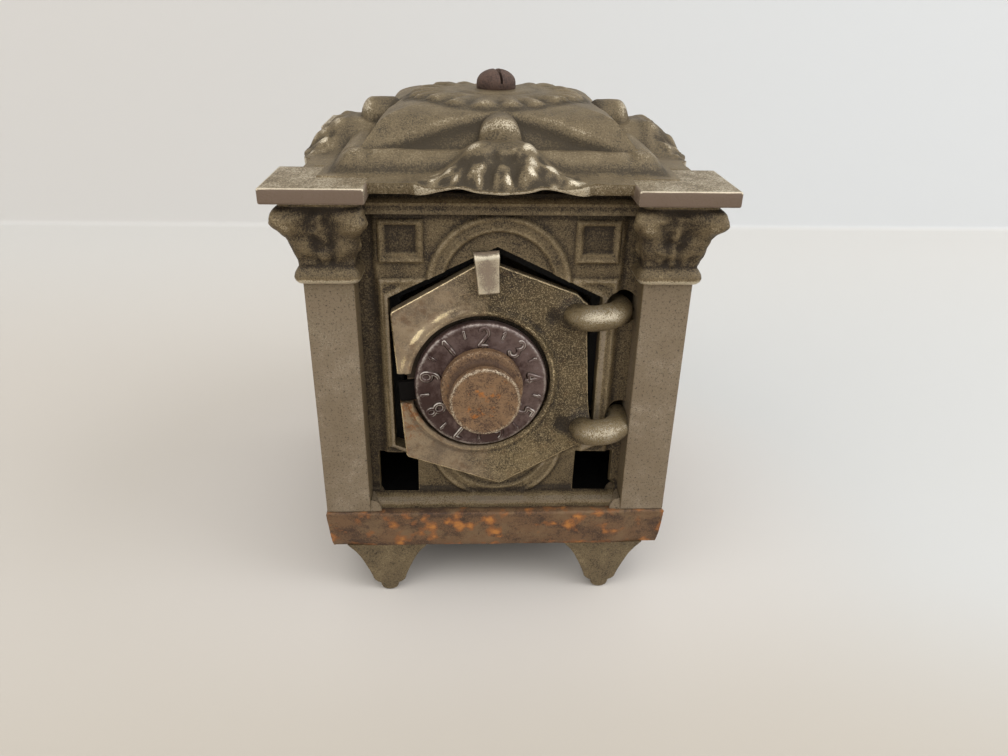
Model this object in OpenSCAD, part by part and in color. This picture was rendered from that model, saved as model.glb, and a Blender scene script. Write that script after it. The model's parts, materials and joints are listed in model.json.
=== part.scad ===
/* [Body] */
// Width and depth of the posts' outer faces
body_size = 78; // [66:0.5:90]
// Height of the feet below the slab
foot_height = 13.57; // [8:0.1:18]
// Height of the base slab
slab_height = 10.1; // [7:0.1:14]
// Height of the walls, from the slab to the pads of the roof
wall_height = 72.7; // [66:0.1:80]
// Thickness of the wall plates
wall_thick = 3; // [2.4:0.1:4]
// Width of a corner post
post_width = 10; // [8:0.1:12]
// How far the posts stand out of the walls
post_proud = 5; // [3.5:0.1:6]
// Height of the capitals
capital_height = 16.95; // [14:0.1:19]

/* [Roof] */
// Thickness of the corner pads
pad_thick = 3; // [2:0.1:4]
// Width of a corner pad
pad_size = 19.3; // [16:0.1:21]
// How far the pads stand out past the posts
pad_over = 5.55; // [3:0.05:7]
// Height of the roof block above the pads
roof_rise = 12.5; // [9:0.1:16]
// Diameter of the screw's head
screw_head_d = 8.8; // [7:0.1:10]
// Diameter of the screw's rod
screw_rod_d = 4.4; // [3.5:0.1:5.5]

/* [Door] */
// Width of the door
door_width = 40.8; // [38:0.1:42]
// Height of the door's upright edges
door_side = 33.3; // [31:0.1:34]
// Rise of the door's slanted edges
door_rise = 9.6; // [8:0.1:10.5]
// Thickness of the door
door_thick = 3; // [2.6:0.1:3.6]
// How far the door hangs out of line, seen from the front, in degrees
door_sag = 3.6; // [0:0.1:4]
// How far the door's top leans back, in degrees
door_lean = 4.2; // [0:0.1:5]
// How far the door stands open at rest, in degrees
door_ajar = 4.3; // [0:0.1:8]
// Radius of the bend of a hinge hook
hook_bend = 5.6; // [5.2:0.1:6.2]
// Diameter of a hinge hook
hook_d = 5.5; // [4.8:0.1:5.8]

/* [Lock] */
// Diameter of the dial
dial_d = 29; // [26:0.1:30]
// Diameter of the knob's head
knob_d = 14.8; // [12:0.1:17]
// How far the knob's face stands in front of the door
knob_length = 11; // [8:0.1:14]
// Diameter of the spindle
spindle_d = 4; // [3.2:0.1:4.6]
// Diameter of the lock's wheels
wheel_d = 17.2; // [15:0.1:18]
// Travel of the bolt
bolt_travel = 3; // [2:0.1:3.4]

/* [Fits] */
// Clearance all round between moving pieces
run_clear = 0.05; // [0.02:0.01:0.09]
// Clearance of the rod in the castings
rod_clear = 0.1; // [0.05:0.01:0.3]
// Room round the hinge hooks as they swing
hook_clear = 0.3; // [0.2:0.05:0.5]

/* [Hidden] */
half = body_size / 2;
face = half - post_proud;
inner = face - wall_thick;
z_slab = foot_height;
z_wall = z_slab + slab_height;
z_top = z_wall + wall_height;
z_cap = z_top - capital_height;
z_pad = z_top + pad_thick;
plate_half = half - 3;
z_roof = z_pad + roof_rise;
post_in = half - post_width;
post_mid = half - post_width / 2;
pad_out = half + pad_over;
eave_gap = 0.9;
eave_out = half + 0.6;

// Door opening in the front wall
open_half = 22.6;
open_x = -0.4;
open_z = z_wall + 33.3;
open_side = 17.8;
open_rise = 10.75;
ledge_in = 2.2;
ledge_room = 0.45;

// Door in its own frame: x across, y into the safe, z up, zero at the middle of its front
door_half = door_width / 2;
side_half = door_side / 2;
door_at = [-0.4 - 11.2 * sin(door_sag), -face - 22.3 * sin(door_ajar), open_z - 8 * sin(door_sag)];
axis_u = 22.6;
axis_d = 1.2;
hook_r = hook_d / 2;
hook_w = [13.2, -13.4];
hole_rise = 1.1;
lock_u = -2.7;
lock_w = -0.6;
dial_r = dial_d / 2;
pocket_r = dial_r + 0.7;
pocket_deep = 2;
spindle_r = spindle_d / 2;
wheel_r = wheel_d / 2;
boss_back = 5;
washer_t = 0.5;
wheel_t = 1.6;
tumbler_d = boss_back + washer_t + 2 * run_clear;
washer2_d = tumbler_d + wheel_t + run_clear;
driver_d = washer2_d + washer_t + run_clear;
nut_d = driver_d + wheel_t;
bolt_w = -1.2;
bolt_half = 2.15;
bolt_front = 0.55;
bolt_back = pocket_deep - 0.03;
fence_right = lock_u - wheel_r - 0.3;
fence_left = fence_right - 2.5;
fence_half = 2;
notch_w = -0.3;
notch_half = 3.4;
guide_off = fence_half + run_clear + 0.95;

// Rod through the whole bank
rod_r = screw_rod_d / 2;
rod_bore = rod_r + rod_clear;
plate_t = 1.5;
z_plate = z_slab - plate_t;
z_washer = z_plate - 1;
z_nut = z_washer - 3.2;
z_seat = z_roof + 1;

// Turn of the hanging door
function turn_y(p, a) = [p[0] * cos(a) + p[2] * sin(a), p[1], p[2] * cos(a) - p[0] * sin(a)];
function turn_x(p, a) = [p[0], p[1] * cos(a) - p[2] * sin(a), p[1] * sin(a) + p[2] * cos(a)];
function turn_z(p, a) = [p[0] * cos(a) - p[1] * sin(a), p[0] * sin(a) + p[1] * cos(a), p[2]];
function hang(p) = door_at + turn_z(turn_x(turn_y(p, -door_sag), -door_lean), door_ajar);
function hook_hole(i) = hang([axis_u + hook_bend, axis_d, hook_w[i]]);

// Half of what the knob stands out in front past the pads' reach at the back
middle_y = (0.69 - hang([lock_u, -knob_length, lock_w])[1] - pad_out) / 2;

// Half profile, given from the bottom up, made whole
function whole(p) = concat(p, [for (i = [len(p) - 1:-1:0]) [-p[i][0], p[i][1]]]);
// Points of an arc from angle a to angle b
function arc(c, r, a, b, n) = [for (i = [0:n]) [c[0] + r * cos(a + (b - a) * i / n), c[1] + r * sin(a + (b - a) * i / n)]];
// Six-sided outline with upright sides, grown by d
function six_top(w, s, r, d) = s + r + d / cos(atan(r / w));
function six_side(w, s, r, d) = six_top(w, s, r, d) - (r / w) * (w + d);
function six(w, s, r, d) = [[0, -six_top(w, s, r, d)], [w + d, -six_side(w, s, r, d)], [w + d, six_side(w, s, r, d)],
  [0, six_top(w, s, r, d)], [-w - d, six_side(w, s, r, d)], [-w - d, -six_side(w, s, r, d)]];

module hung() {
  translate(door_at) rotate([0, 0, door_ajar]) rotate([-door_lean, 0, 0]) rotate([0, -door_sag, 0]) children();
}

// The whole bank moved back so that its box, the knob included, is centred on the origin
module placed() {
  translate([0, middle_y, 0]) children();
}

// Flat shape stood up on the plane y, thick towards the front
module stand(y, t) {
  translate([0, y, 0]) rotate([90, 0, 0]) linear_extrude(height = t) children();
}

// Bar with a profile of y and z, along x
module along_x(x0, x1) {
  translate([x0, 0, 0]) rotate([90, 0, 90]) linear_extrude(height = x1 - x0) children();
}

// Square-plan moulding: each height is a square of the profile's width
module square_plan(p) {
  intersection() {
    rotate([90, 0, 90]) linear_extrude(height = 200, center = true) polygon(whole(p));
    rotate([90, 0, 0]) linear_extrude(height = 200, center = true) polygon(whole(p));
  }
}

module stadium(r) {
  translate([0, z_wall + 15.6]) circle(r, $fn = 64);
  translate([0, z_top - 19.2]) circle(r, $fn = 64);
  translate([-r, z_wall + 15.6]) square([2 * r, wall_height - 34.8]);
}

module ring_2d(w, h, t) {
  difference() {
    square([w, h], center = true);
    square([w - 2 * t, h - 2 * t], center = true);
  }
}

// Plate with its sunk panel and mouldings, front at -face
module wall_plate(w) {
  difference() {
    translate([-w, -face, z_wall]) cube([2 * w, wall_thick, wall_height]);
    stand(-face + 0.8, 2) stadium(13.7);
    for (s = [-1, 1]) translate([s * 20.3, 0, z_top - 10.35]) stand(-face + 0.7, 2) square([4.4, 4.3], center = true);
  }
  stand(-face + 0.01, 0.61) difference() {
    stadium(15);
    stadium(13.7);
  }
  stand(-face + 0.81, 0.7) difference() {
    stadium(12.6);
    stadium(11.5);
  }
  for (s = [-1, 1]) {
    translate([s * 19.5, 0, z_top - 10.85]) stand(-face + 0.01, 0.61) ring_2d(9.4, 10.1, 1.1);
    translate([s * 20.3, 0, z_top - 10.35]) stand(-face + 0.01, 0.51) ring_2d(5.8, 5.7, 0.7);
  }
}

module base_rail(w) {
  along_x(-w, w) polygon([[-face + 0.01, z_wall], [-face - 3.5, z_wall], [-face - 3.4, z_wall + 0.7],
    [-face - 2.7, z_wall + 1.5], [-face - 1.5, z_wall + 2.2], [-face - 0.6, z_wall + 2.5], [-face + 0.01, z_wall + 2.6]]);
}

module frieze_rail(w) {
  along_x(-w, w) polygon([[-face + 0.01, z_top - 4.2], [-face - 0.9, z_top - 3.8], [-face - 1.2, z_top - 3],
    [-face - 1.2, z_top - 2.5], [-face - 2.2, z_top - 2], [-face - 2.3, z_top - 0.9], [-face + 0.01, z_top - 0.9]]);
}

// Capital with a round at its neck, a bell that opens upwards and a square top
function capital_profile() = concat([[post_width / 2 + 0.3, z_cap]],
  arc([post_width / 2 + 0.35, z_cap + 1.3], 1.3, -75, 75, 6),
  [[post_width / 2 + 0.5, z_cap + 2.7], [post_width / 2 + 0.45, z_cap + 5], [post_width / 2 + 0.9, z_cap + 7.6],
  [post_width / 2 + 1.9, z_cap + 10.4], [post_width / 2 + 2.9, z_cap + 12.2], [post_width / 2 + 3.9, z_cap + 13.3],
  [post_width / 2 + 4.1, z_cap + 14], [post_width / 2 + 3.6, z_cap + 15], [post_width / 2 + 3.8, z_cap + 15.3],
  [post_width / 2 + 3.8, z_top]]);

module volutes() {
  for (s = [-1, 1]) translate([s * 6.4, -post_width / 2 - 2.4, z_cap + 11.9])
    rotate([90, 0, 0]) cylinder(h = 2.2, r = 2.7, $fn = 40);
}

// One corner post with its capital, for the corner at +x and -y
module post() {
  translate([post_in, -half, z_wall]) cube([post_width, post_width, wall_height]);
  translate([post_in - 1.6, -half, z_wall]) cube([3, post_proud + 0.5, 2.2]);
  difference() {
    translate([post_mid, -post_mid, 0]) union() {
      square_plan(capital_profile());
      volutes();
      rotate([0, 0, 90]) volutes();
    }
    translate([face - 20, -face, z_cap - 5]) cube([20, 40, capital_height + 10]);
    translate([post_in - 20, -face - 0.01, z_cap - 5]) cube([20.01, 20, capital_height + 10]);
  }
}

module posts() {
  post();
  mirror([1, 0, 0]) post();
}

// Room in which the two hinge hooks swing
module hook_room() {
  hung() for (w = hook_w) translate([axis_u, axis_d, w])
    rotate_extrude($fn = 64) translate([hook_bend, 0]) circle(hook_r + hook_clear, $fn = 32);
}

module hinge_hole(i) {
  c = hook_hole(i);
  stand(-inner + 4, wall_thick + 12) union() {
    translate([c[0], c[2]]) circle(hook_r + 0.45, $fn = 40);
    translate([c[0], c[2] + hole_rise]) circle(hook_r + 0.45, $fn = 40);
    translate([c[0] - hook_r - 0.45, c[2]]) square([2 * hook_r + 0.9, hole_rise]);
  }
}

module front_wall() {
  color("#6b6456") difference() {
    union() {
      wall_plate(post_in + 0.5);
      base_rail(post_in + 0.5);
      frieze_rail(post_in + 0.5);
      posts();
      translate([open_x, 0, open_z]) stand(-face + 0.01, 0.51) difference() {
        polygon(six(open_half, open_side, open_rise, 1.3));
        polygon(six(open_half, open_side, open_rise, 0));
      }
      translate([open_x, 0, open_z]) stand(-inner + 2, 2.01) polygon(six(open_half, open_side, open_rise, 1.8));
      translate([open_half + open_x + 1.5, -face - 0.5, open_z - 17]) cube([1, 0.6, 34]);
    }
    translate([open_x, 0, open_z]) stand(-inner + ledge_room, wall_thick + 5.4) polygon(six(open_half, open_side, open_rise, 0));
    translate([open_x, 0, open_z]) stand(-inner + 3, wall_thick + 5) polygon(six(open_half, open_side, open_rise, -ledge_in));
    for (s = [-1, 1]) translate([s * 22.45 - 4.4, -face - 1, z_wall + 2.7]) cube([8.8, wall_thick + 4, 10.5]);
    translate([open_x - open_half - 1.3, -face + 0.3, open_z - 4.5]) cube([1.4, wall_thick, 6.6]);
    hook_room();
    hinge_hole(0);
    hinge_hole(1);
  }
}

module back_wall() {
  color("#6b6456") rotate([0, 0, 180]) difference() {
    union() {
      wall_plate(post_in + 0.5);
      base_rail(post_in + 0.5);
      frieze_rail(post_in + 0.5);
      posts();
    }
    translate([-12.5, -face - 2, z_top - 18]) cube([25, wall_thick + 4, 4.8]);
  }
}

module side_wall() {
  wall_plate(post_in);
  base_rail(post_in - 1.7);
  frieze_rail(post_mid - post_width / 2 - 4.2);
}

module left_wall() {
  color("#6b6456") rotate([0, 0, -90]) side_wall();
}

module right_wall() {
  color("#6b6456") rotate([0, 0, 90]) side_wall();
}

module base_slab() {
  color("#7a5a40") difference() {
    union() {
      square_plan([[half - 0.3, z_slab], [half, z_slab + 0.5], [half, z_wall - 0.6], [half + 0.2, z_wall - 0.3], [half + 0.1, z_wall]]);
      for (a = [0:90:270]) rotate([0, 0, a]) translate([-20, -inner + 0.25, z_wall - 0.5]) cube([40, 1.8, 2.9]);
    }
    translate([-half + 3, -half + 3, z_slab - 1]) cube([2 * half - 6, 2 * half - 6, slab_height - 2]);
    translate([0, 0, z_slab - 1]) cylinder(h = slab_height + 5, r = rod_bore, $fn = 40);
  }
  color("#7a5a40") difference() {
    translate([0, 0, z_slab]) cylinder(h = slab_height - 2, r = rod_bore + 3.5, $fn = 48);
    translate([0, 0, z_slab - 1]) cylinder(h = slab_height + 5, r = rod_bore, $fn = 40);
  }
}

// Outline of a bracket foot, top edge at zero
function foot_shape() = [[-9.2, 0.3], [-8.6, -0.4], [-7.4, -2.6], [-6.1, -5.0], [-4.9, -7.6], [-3.9, -9.6],
  [-3.5, -10.4], [-2.7, -10.9], [-2.3, -11.6], [-2.1, -12.4], [-1.5, -13.2], [-0.6, -13.57],
  [0.6, -13.57], [1.5, -13.2], [2.1, -12.4], [2.3, -11.6], [2.7, -10.9], [3.5, -10.4], [3.9, -9.6],
  [4.9, -7.6], [6.1, -5.0], [7.4, -2.6], [8.6, -0.4], [9.2, 0.3]];

module foot_plate() {
  color("#6b6456") difference() {
    union() {
      translate([-plate_half, -plate_half, z_plate]) cube([2 * plate_half, 2 * plate_half, plate_t]);
      for (sx = [-1, 1], sy = [0, 180]) rotate([0, 0, sy]) translate([sx * 25.7, 0, z_slab])
        stand(-half + 3.3, 3) scale([1, foot_height / 13.57]) intersection() {
          polygon(foot_shape());
          translate([-12, -20]) square([24, 20]);
        }
    }
    translate([0, 0, z_plate - 1]) cylinder(h = 5, r = rod_bore, $fn = 40);
  }
}

// Roof block: band, bump, cove up to the platform
function roof_profile() = concat([[half - 10.5, z_pad - 0.5], [half - 10.3, z_pad + 0.3]],
  arc([half - 9.3, z_pad + 1.9], 2.1, -60, 70, 8),
  [[half - 10.6, z_pad + 4.2]],
  [for (i = [0:7]) [half - 11.3 - 6.4 * pow(i / 7, 0.62), z_pad + 4.6 + (roof_rise - 5.2) * i / 7]],
  [[half - 18, z_roof]]);

module roof_lobe() {
  intersection() {
    along_x(-19, 19) polygon([[-20, z_pad - 2.9], [-eave_out - 0.6, z_pad - 2.9], [-eave_out - 2.2, z_pad - 2.3],
      [-eave_out - 2.9, z_pad - 1.2], [-eave_out - 2.8, z_pad + 0.2], [-eave_out - 1.6, z_pad + 2.2],
      [-eave_out + 0.6, z_pad + 4.2], [-eave_out + 3, z_pad + 5.6], [-eave_out + 6, z_pad + 6.6],
      [-eave_out + 10, z_pad + 7], [-20, z_pad + 8]]);
    stand(-15, 40) polygon([[-17.5, z_pad - 2.4], [-12.5, z_pad - 3], [-8, z_pad - 2], [-3, z_pad - 2.7],
      [0, z_pad - 2.2], [3, z_pad - 2.7], [8, z_pad - 2], [12.5, z_pad - 3], [17.5, z_pad - 2.4], [17, z_pad - 0.6],
      [13.5, z_pad + 1.4], [10.5, z_pad + 3.2], [8.8, z_pad + 4.6], [7, z_pad + 6], [4.6, z_pad + 6.6],
      [2.6, z_pad + 7], [0, z_pad + 7.2], [-2.6, z_pad + 7], [-4.6, z_pad + 6.6], [-7, z_pad + 6],
      [-8.8, z_pad + 4.6], [-10.5, z_pad + 3.2], [-13.5, z_pad + 1.4], [-17, z_pad - 0.6]]);
  }
  translate([0, -20, z_pad + 7]) rotate([90, 0, 0]) cylinder(h = 8.2, r = 3.5, $fn = 40);
  translate([0, -28.2, z_pad + 7]) sphere(r = 3.5, $fn = 40);
}

module roof() {
  color("#6f675a") difference() {
    union() {
      for (sx = [0, 1], sy = [0, 1]) mirror([sx, 0, 0]) mirror([0, sy, 0])
        translate([pad_out - pad_size, pad_out - pad_size, z_top]) cube([pad_size, pad_size, pad_thick]);
      translate([-eave_out, -eave_out, z_top + eave_gap]) cube([2 * eave_out, 2 * eave_out, pad_thick - eave_gap - 0.1]);
      square_plan(roof_profile());
      for (a = [0:90:270]) rotate([0, 0, a]) roof_lobe();
      translate([0, 0, z_roof - 0.5]) cylinder(h = 1.2, r1 = 19, r2 = 17.6, $fn = 72);
      translate([0, 0, z_roof + 0.6]) cylinder(h = z_seat - z_roof - 0.6, r1 = 8.5, r2 = 7, $fn = 48);
      for (a = [0:90:270]) rotate([0, 0, a]) translate([-18, -inner + 0.25, z_top - 2.2]) cube([36, 1.8, 3.4]);
    }
    difference() {
      square_plan([[25.5, z_top + eave_gap - 3], [25.5, z_pad + 1.6], [22.5, z_pad + 4], [14.5, z_roof - 2.6]]);
      translate([0, 0, z_top - 5]) cylinder(h = 40, r = rod_bore + 3, $fn = 48);
    }
    translate([0, 0, z_top - 10]) cylinder(h = 40, r = rod_bore, $fn = 40);
    translate([0, 0, z_top - 10]) cylinder(h = 10 + eave_gap, r = rod_bore + 6, $fn = 40);
  }
}

module roof_screw() {
  color("#4a3a30") difference() {
    union() {
      translate([0, 0, z_seat]) rotate_extrude($fn = 64)
        polygon(concat([[0, 0], [screw_head_d / 2, 0], [screw_head_d / 2, 0.9]],
          [for (a = [10:10:80]) [screw_head_d / 2 * cos(a), 0.9 + 2.4 * sin(a)]], [[0, 3.3]]));
      translate([0, 0, z_nut - 1.4]) cylinder(h = z_seat - z_nut + 1.5, r = rod_r, $fn = 48);
    }
    translate([-0.65, -screw_head_d, z_seat + 1.5]) cube([1.3, 2 * screw_head_d, 4]);
  }
}

module screw_nut() {
  color("#5a4a3c") translate([0, 0, z_nut]) difference() {
    cylinder(h = z_washer - z_nut, r = 4.6, $fn = 6);
    translate([0, 0, -1]) cylinder(h = 8, r = rod_r, $fn = 48);
  }
}

module nut_washer() {
  color("#5a4a3c") translate([0, 0, z_washer]) difference() {
    cylinder(h = z_plate - z_washer, r = 6, $fn = 48);
    translate([0, 0, -1]) cylinder(h = 8, r = rod_bore, $fn = 48);
  }
}

// Turned piece on the lock's axis: profile of radius and height in front of the door's face
module turned(n) {
  translate([lock_u, 0, lock_w]) rotate([90, 0, 0]) rotate_extrude($fn = n) children();
}

// Hole on the lock's axis, from depth d0 to depth d1
module lock_hole(d0, d1, r) {
  translate([lock_u, d1, lock_w]) rotate([90, 0, 0]) cylinder(h = d1 - d0, r = r, $fn = 48);
}

module hook(w) {
  translate([axis_u, axis_d, w]) rotate([0, 0, 182]) rotate_extrude(angle = 200, $fn = 64)
    translate([hook_bend, 0]) circle(hook_r, $fn = 32);
}

module door_body() {
  difference() {
    union() {
      stand(door_thick, door_thick) polygon(six(door_half, side_half, door_rise, 0));
      turned(96) polygon([[pocket_r, -0.01], [pocket_r, 0.5], [pocket_r + 0.5, 0.7], [pocket_r + 1.1, 0.4], [pocket_r + 1.4, -0.01]]);
      turned(48) polygon([[0, -boss_back], [5, -boss_back], [5, -door_thick + 0.01], [0, -door_thick + 0.01]]);
      for (w = hook_w) hook(w);
      stand(-1.3, 1.6) polygon([[-1.85, 19.7], [2.3, 19.7], [2.9, 27.9], [-2.4, 27.9]]);
      stand(0.01, 1.32) polygon([[-1.85, 19.7], [2.3, 19.7], [2.6, 24.2], [-2.1, 24.2]]);
    }
    lock_hole(-3, pocket_deep, pocket_r);
    lock_hole(-1, 20, spindle_r + run_clear);
    translate([-door_half - 1, -2, notch_w - notch_half]) cube([door_half + lock_u - pocket_r + 4, 2 + pocket_deep, 2 * notch_half]);
    translate([fence_left - bolt_travel - 0.3, 0, bolt_w - fence_half - run_clear])
      cube([fence_right - fence_left + bolt_travel + 0.6, 6, 2 * (fence_half + run_clear)]);
    guide_holes(0.5);
  }
}

module guide_holes(r) {
  for (s = [-1, 1]) translate([fence_left - 0.5, 10, bolt_w + s * guide_off]) rotate([90, 0, 0]) cylinder(h = 12, r = r, $fn = 24);
}

module door() {
  color("#8a8072") hung() door_body();
}

module dial() {
  color("#8b8790") hung() difference() {
    turned(96) polygon(concat([[spindle_r, -0.3], [dial_r - 0.4, -0.3], [dial_r, 0.1], [dial_r, 0.9]],
      arc([dial_r - 0.9, 0.9], 0.9, 15, 90, 4), [[dial_r - 2, 1.95], [9.2, 2.3], [spindle_r, 2.3]]));
  }
}

module knob() {
  color("#7d6a58") hung() difference() {
    turned(96) polygon(concat([[0, 2.3], [8.7, 2.3], [8.8, 2.9], [8.7, 3.9], [8.2, 4.4], [7, 4.8], [6.4, 5.6], [6.3, 6.4], [6.6, 7.4],
      [7.2, 8], [knob_d / 2, 8.6], [knob_d / 2, knob_length - 0.8]],
      arc([knob_d / 2 - 0.8, knob_length - 0.8], 0.8, 20, 90, 3), [[5.4, knob_length - 0.35], [0, knob_length - 0.35]]));
    lock_hole(-knob_length + 3, -1, spindle_r);
    translate([lock_u, -3.4, lock_w - 12]) cylinder(h = 12, r = 0.6, $fn = 24);
  }
}

module spindle() {
  color("#8a8478") hung() difference() {
    union() {
      lock_hole(-knob_length + 3, driver_d + wheel_t, spindle_r);
      lock_hole(driver_d, nut_d + 3, spindle_r - 0.5);
    }
    translate([lock_u, -3.4, lock_w - 12]) cylinder(h = 12, r = 0.6, $fn = 24);
  }
}

module knob_pin() {
  color("#8a8478") hung() translate([lock_u, -3.4, lock_w - 8]) cylinder(h = 8, r = 0.6, $fn = 24);
}

module spring_washer() {
  color("#8a8478") hung() difference() {
    lock_hole(0.3, pocket_deep - 0.05, 4.2);
    lock_hole(0, 3, spindle_r);
  }
}

// Wheel with a gate in its rim and a hole for its pin
module wheel(d, bore, gate, pin_a) {
  difference() {
    lock_hole(d, d + wheel_t, wheel_r);
    lock_hole(d - 1, d + wheel_t + 1, bore);
    translate([lock_u, 0, lock_w]) rotate([0, gate, 0]) translate([wheel_r - 2.8, d - 1, -2.3]) cube([6, wheel_t + 2, 4.6]);
    pin_at(d - 1, d + wheel_t + 1, pin_a);
  }
}

module pin_at(d0, d1, a) {
  translate([lock_u, 0, lock_w]) rotate([0, a, 0]) translate([5.6, d1, 0]) rotate([90, 0, 0]) cylinder(h = d1 - d0, r = 0.7, $fn = 24);
}

module driver_wheel() {
  color("#a08a58") hung() difference() {
    wheel(driver_d, spindle_r, 115, 40);
    lock_hole(driver_d, driver_d + 2, spindle_r);
  }
}

module driver_pin() {
  color("#8a8478") hung() pin_at(tumbler_d + wheel_t + 0.15, driver_d + wheel_t, 40);
}

module tumbler_wheel() {
  color("#a08a58") hung() wheel(tumbler_d, spindle_r + run_clear, 70, 54.5);
}

module tumbler_pin() {
  color("#8a8478") hung() pin_at(tumbler_d, driver_d - 0.15, 54.5);
}

module wheel_washers() {
  color("#8a8478") hung() for (d = [boss_back + run_clear, washer2_d]) difference() {
    lock_hole(d, d + washer_t, 3.6);
    lock_hole(d - 1, d + 2, spindle_r);
  }
}

module spindle_nut() {
  color("#8a8478") hung() difference() {
    translate([lock_u, nut_d + 2.4, lock_w]) rotate([90, 0, 0]) cylinder(h = 2.4, r = 3.6, $fn = 6);
    lock_hole(nut_d - 1, nut_d + 4, spindle_r - 0.5);
  }
}

module lock_bolt() {
  color("#5a5148") hung() difference() {
    translate([-door_half + 0.1, bolt_front, bolt_w - bolt_half]) cube([door_half - 0.1 - 8.6, bolt_back - bolt_front, 2 * bolt_half]);
    translate([(fence_left + fence_right) / 2, 5, bolt_w]) rotate([90, 0, 0]) cylinder(h = 8, r = 0.8, $fn = 32);
  }
}

module bolt_fence() {
  color("#5a5148") hung() {
    translate([fence_left, bolt_back, bolt_w - fence_half]) cube([fence_right - fence_left, driver_d + wheel_t - bolt_back, 2 * fence_half]);
    translate([(fence_left + fence_right) / 2, bolt_back + 0.01, bolt_w]) rotate([90, 0, 0])
      cylinder(h = bolt_back + 0.01 - bolt_front, r = 0.8, $fn = 32);
  }
}

module bolt_guides() {
  color("#8a8478") hung() difference() {
    for (s = [-1, 1]) translate([fence_left - bolt_travel - 0.8, door_thick, bolt_w + s * guide_off - 0.95])
      cube([fence_right - fence_left + bolt_travel + 1.2, 1.6, 1.9]);
    guide_holes(0.5);
  }
}

module guide_rivets() {
  color("#8a8478") hung() for (s = [-1, 1]) translate([fence_left - 0.5, 0, bolt_w + s * guide_off]) {
    translate([0, door_thick + 2, 0]) rotate([90, 0, 0]) cylinder(h = door_thick + 2 - pocket_deep + 0.4, r = 0.5, $fn = 24);
    translate([0, pocket_deep, 0]) rotate([90, 0, 0]) cylinder(h = 0.4, r = 0.75, $fn = 24);
    translate([0, door_thick + 2, 0]) rotate([90, 0, 0]) cylinder(h = 0.4, r = 0.85, $fn = 24);
  }
}

placed() roof();
placed() roof_screw();
placed() screw_nut();
placed() nut_washer();
placed() front_wall();
placed() back_wall();
placed() left_wall();
placed() right_wall();
placed() base_slab();
placed() foot_plate();
placed() door();
placed() dial();
placed() knob();
placed() spindle();
placed() knob_pin();
placed() spring_washer();
placed() driver_wheel();
placed() driver_pin();
placed() tumbler_wheel();
placed() tumbler_pin();
placed() wheel_washers();
placed() spindle_nut();
placed() lock_bolt();
placed() bolt_fence();
placed() bolt_guides();
placed() guide_rivets();
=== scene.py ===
"""Looks of the safe coin bank: castings, door, lock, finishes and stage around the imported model."""

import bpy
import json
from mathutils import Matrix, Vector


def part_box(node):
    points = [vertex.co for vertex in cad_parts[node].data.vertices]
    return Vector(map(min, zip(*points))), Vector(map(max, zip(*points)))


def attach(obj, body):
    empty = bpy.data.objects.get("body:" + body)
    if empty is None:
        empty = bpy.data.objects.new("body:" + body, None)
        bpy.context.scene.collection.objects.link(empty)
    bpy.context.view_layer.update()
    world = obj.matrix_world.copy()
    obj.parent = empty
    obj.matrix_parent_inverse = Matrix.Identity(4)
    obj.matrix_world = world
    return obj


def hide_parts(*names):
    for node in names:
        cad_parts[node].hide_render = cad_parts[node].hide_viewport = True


bl_info = {
    "name": "Safe coin bank",
    "version": (1, 0, 0),
    "blender": (4, 5, 0),
    "location": "View3D > Sidebar > Coin Bank",
    "description": "Builds the castings, door, dial and finishes of a cast-iron safe coin bank",
    "category": "Add Mesh",
}

import json
import math

import bmesh
import bpy
import numpy as np
from bpy.props import FloatProperty, FloatVectorProperty, PointerProperty
from mathutils import Matrix, Vector

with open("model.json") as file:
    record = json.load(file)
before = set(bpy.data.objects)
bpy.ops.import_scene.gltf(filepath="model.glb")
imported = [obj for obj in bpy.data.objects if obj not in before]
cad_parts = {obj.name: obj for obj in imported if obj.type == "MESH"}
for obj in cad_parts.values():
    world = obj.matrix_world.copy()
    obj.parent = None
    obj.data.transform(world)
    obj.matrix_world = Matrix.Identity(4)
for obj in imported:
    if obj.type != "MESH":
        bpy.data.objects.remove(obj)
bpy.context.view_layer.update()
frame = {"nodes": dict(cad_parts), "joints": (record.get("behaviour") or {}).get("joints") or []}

MM = 0.001
# Black painted into holes, slots and other insides, as painted shade
PAINTED_SHADE_BLACK = (0.003, 0.0025, 0.002)

# Measures in millimetres

# On the door: the lock's axis, across and up; the hinge's axis, across and inward; the hooks' measures
LOCK_U, LOCK_W = -2.7, -0.6
AXIS_U, AXIS_D = 22.6, 1.2
HOOK_BEND, HOOK_HEIGHTS, HOOK_RADIUS = 5.6, (13.2, -13.4), 2.75

# Walls: lower and upper end, distance of the face from the middle, and ends of the arched panel's sides
WALL_LOW, WALL_HIGH, WALL_FACE = 23.69, 96.35, 34.0
ARCH_LOW, ARCH_HIGH = 39.27, 77.17

# Door opening: half width, half height of the upright sides and rise of the slopes, then its middle
OPENING, OPENING_X, OPENING_Z = (22.6, 17.8, 10.75), -0.4, 56.97

# Top of the roof's corner pads, and how far the knob's face stands out from the door
PAD_TOP = 99.37
KNOB_OUT = 10.6

# Camera: focal length and sensor width, place, and pitch, yaw and roll in degrees
CAMERA_LENS, CAMERA_SENSOR = 27.474, 36.0
CAMERA_PLACE, CAMERA_TURNS = (-6.28, -184.47, 132.20), (26.893, 2.922, 1.172)


# Placing of the door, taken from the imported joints


def joint(name):
    return next(j for j in frame["joints"] if j["name"] == name)


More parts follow.
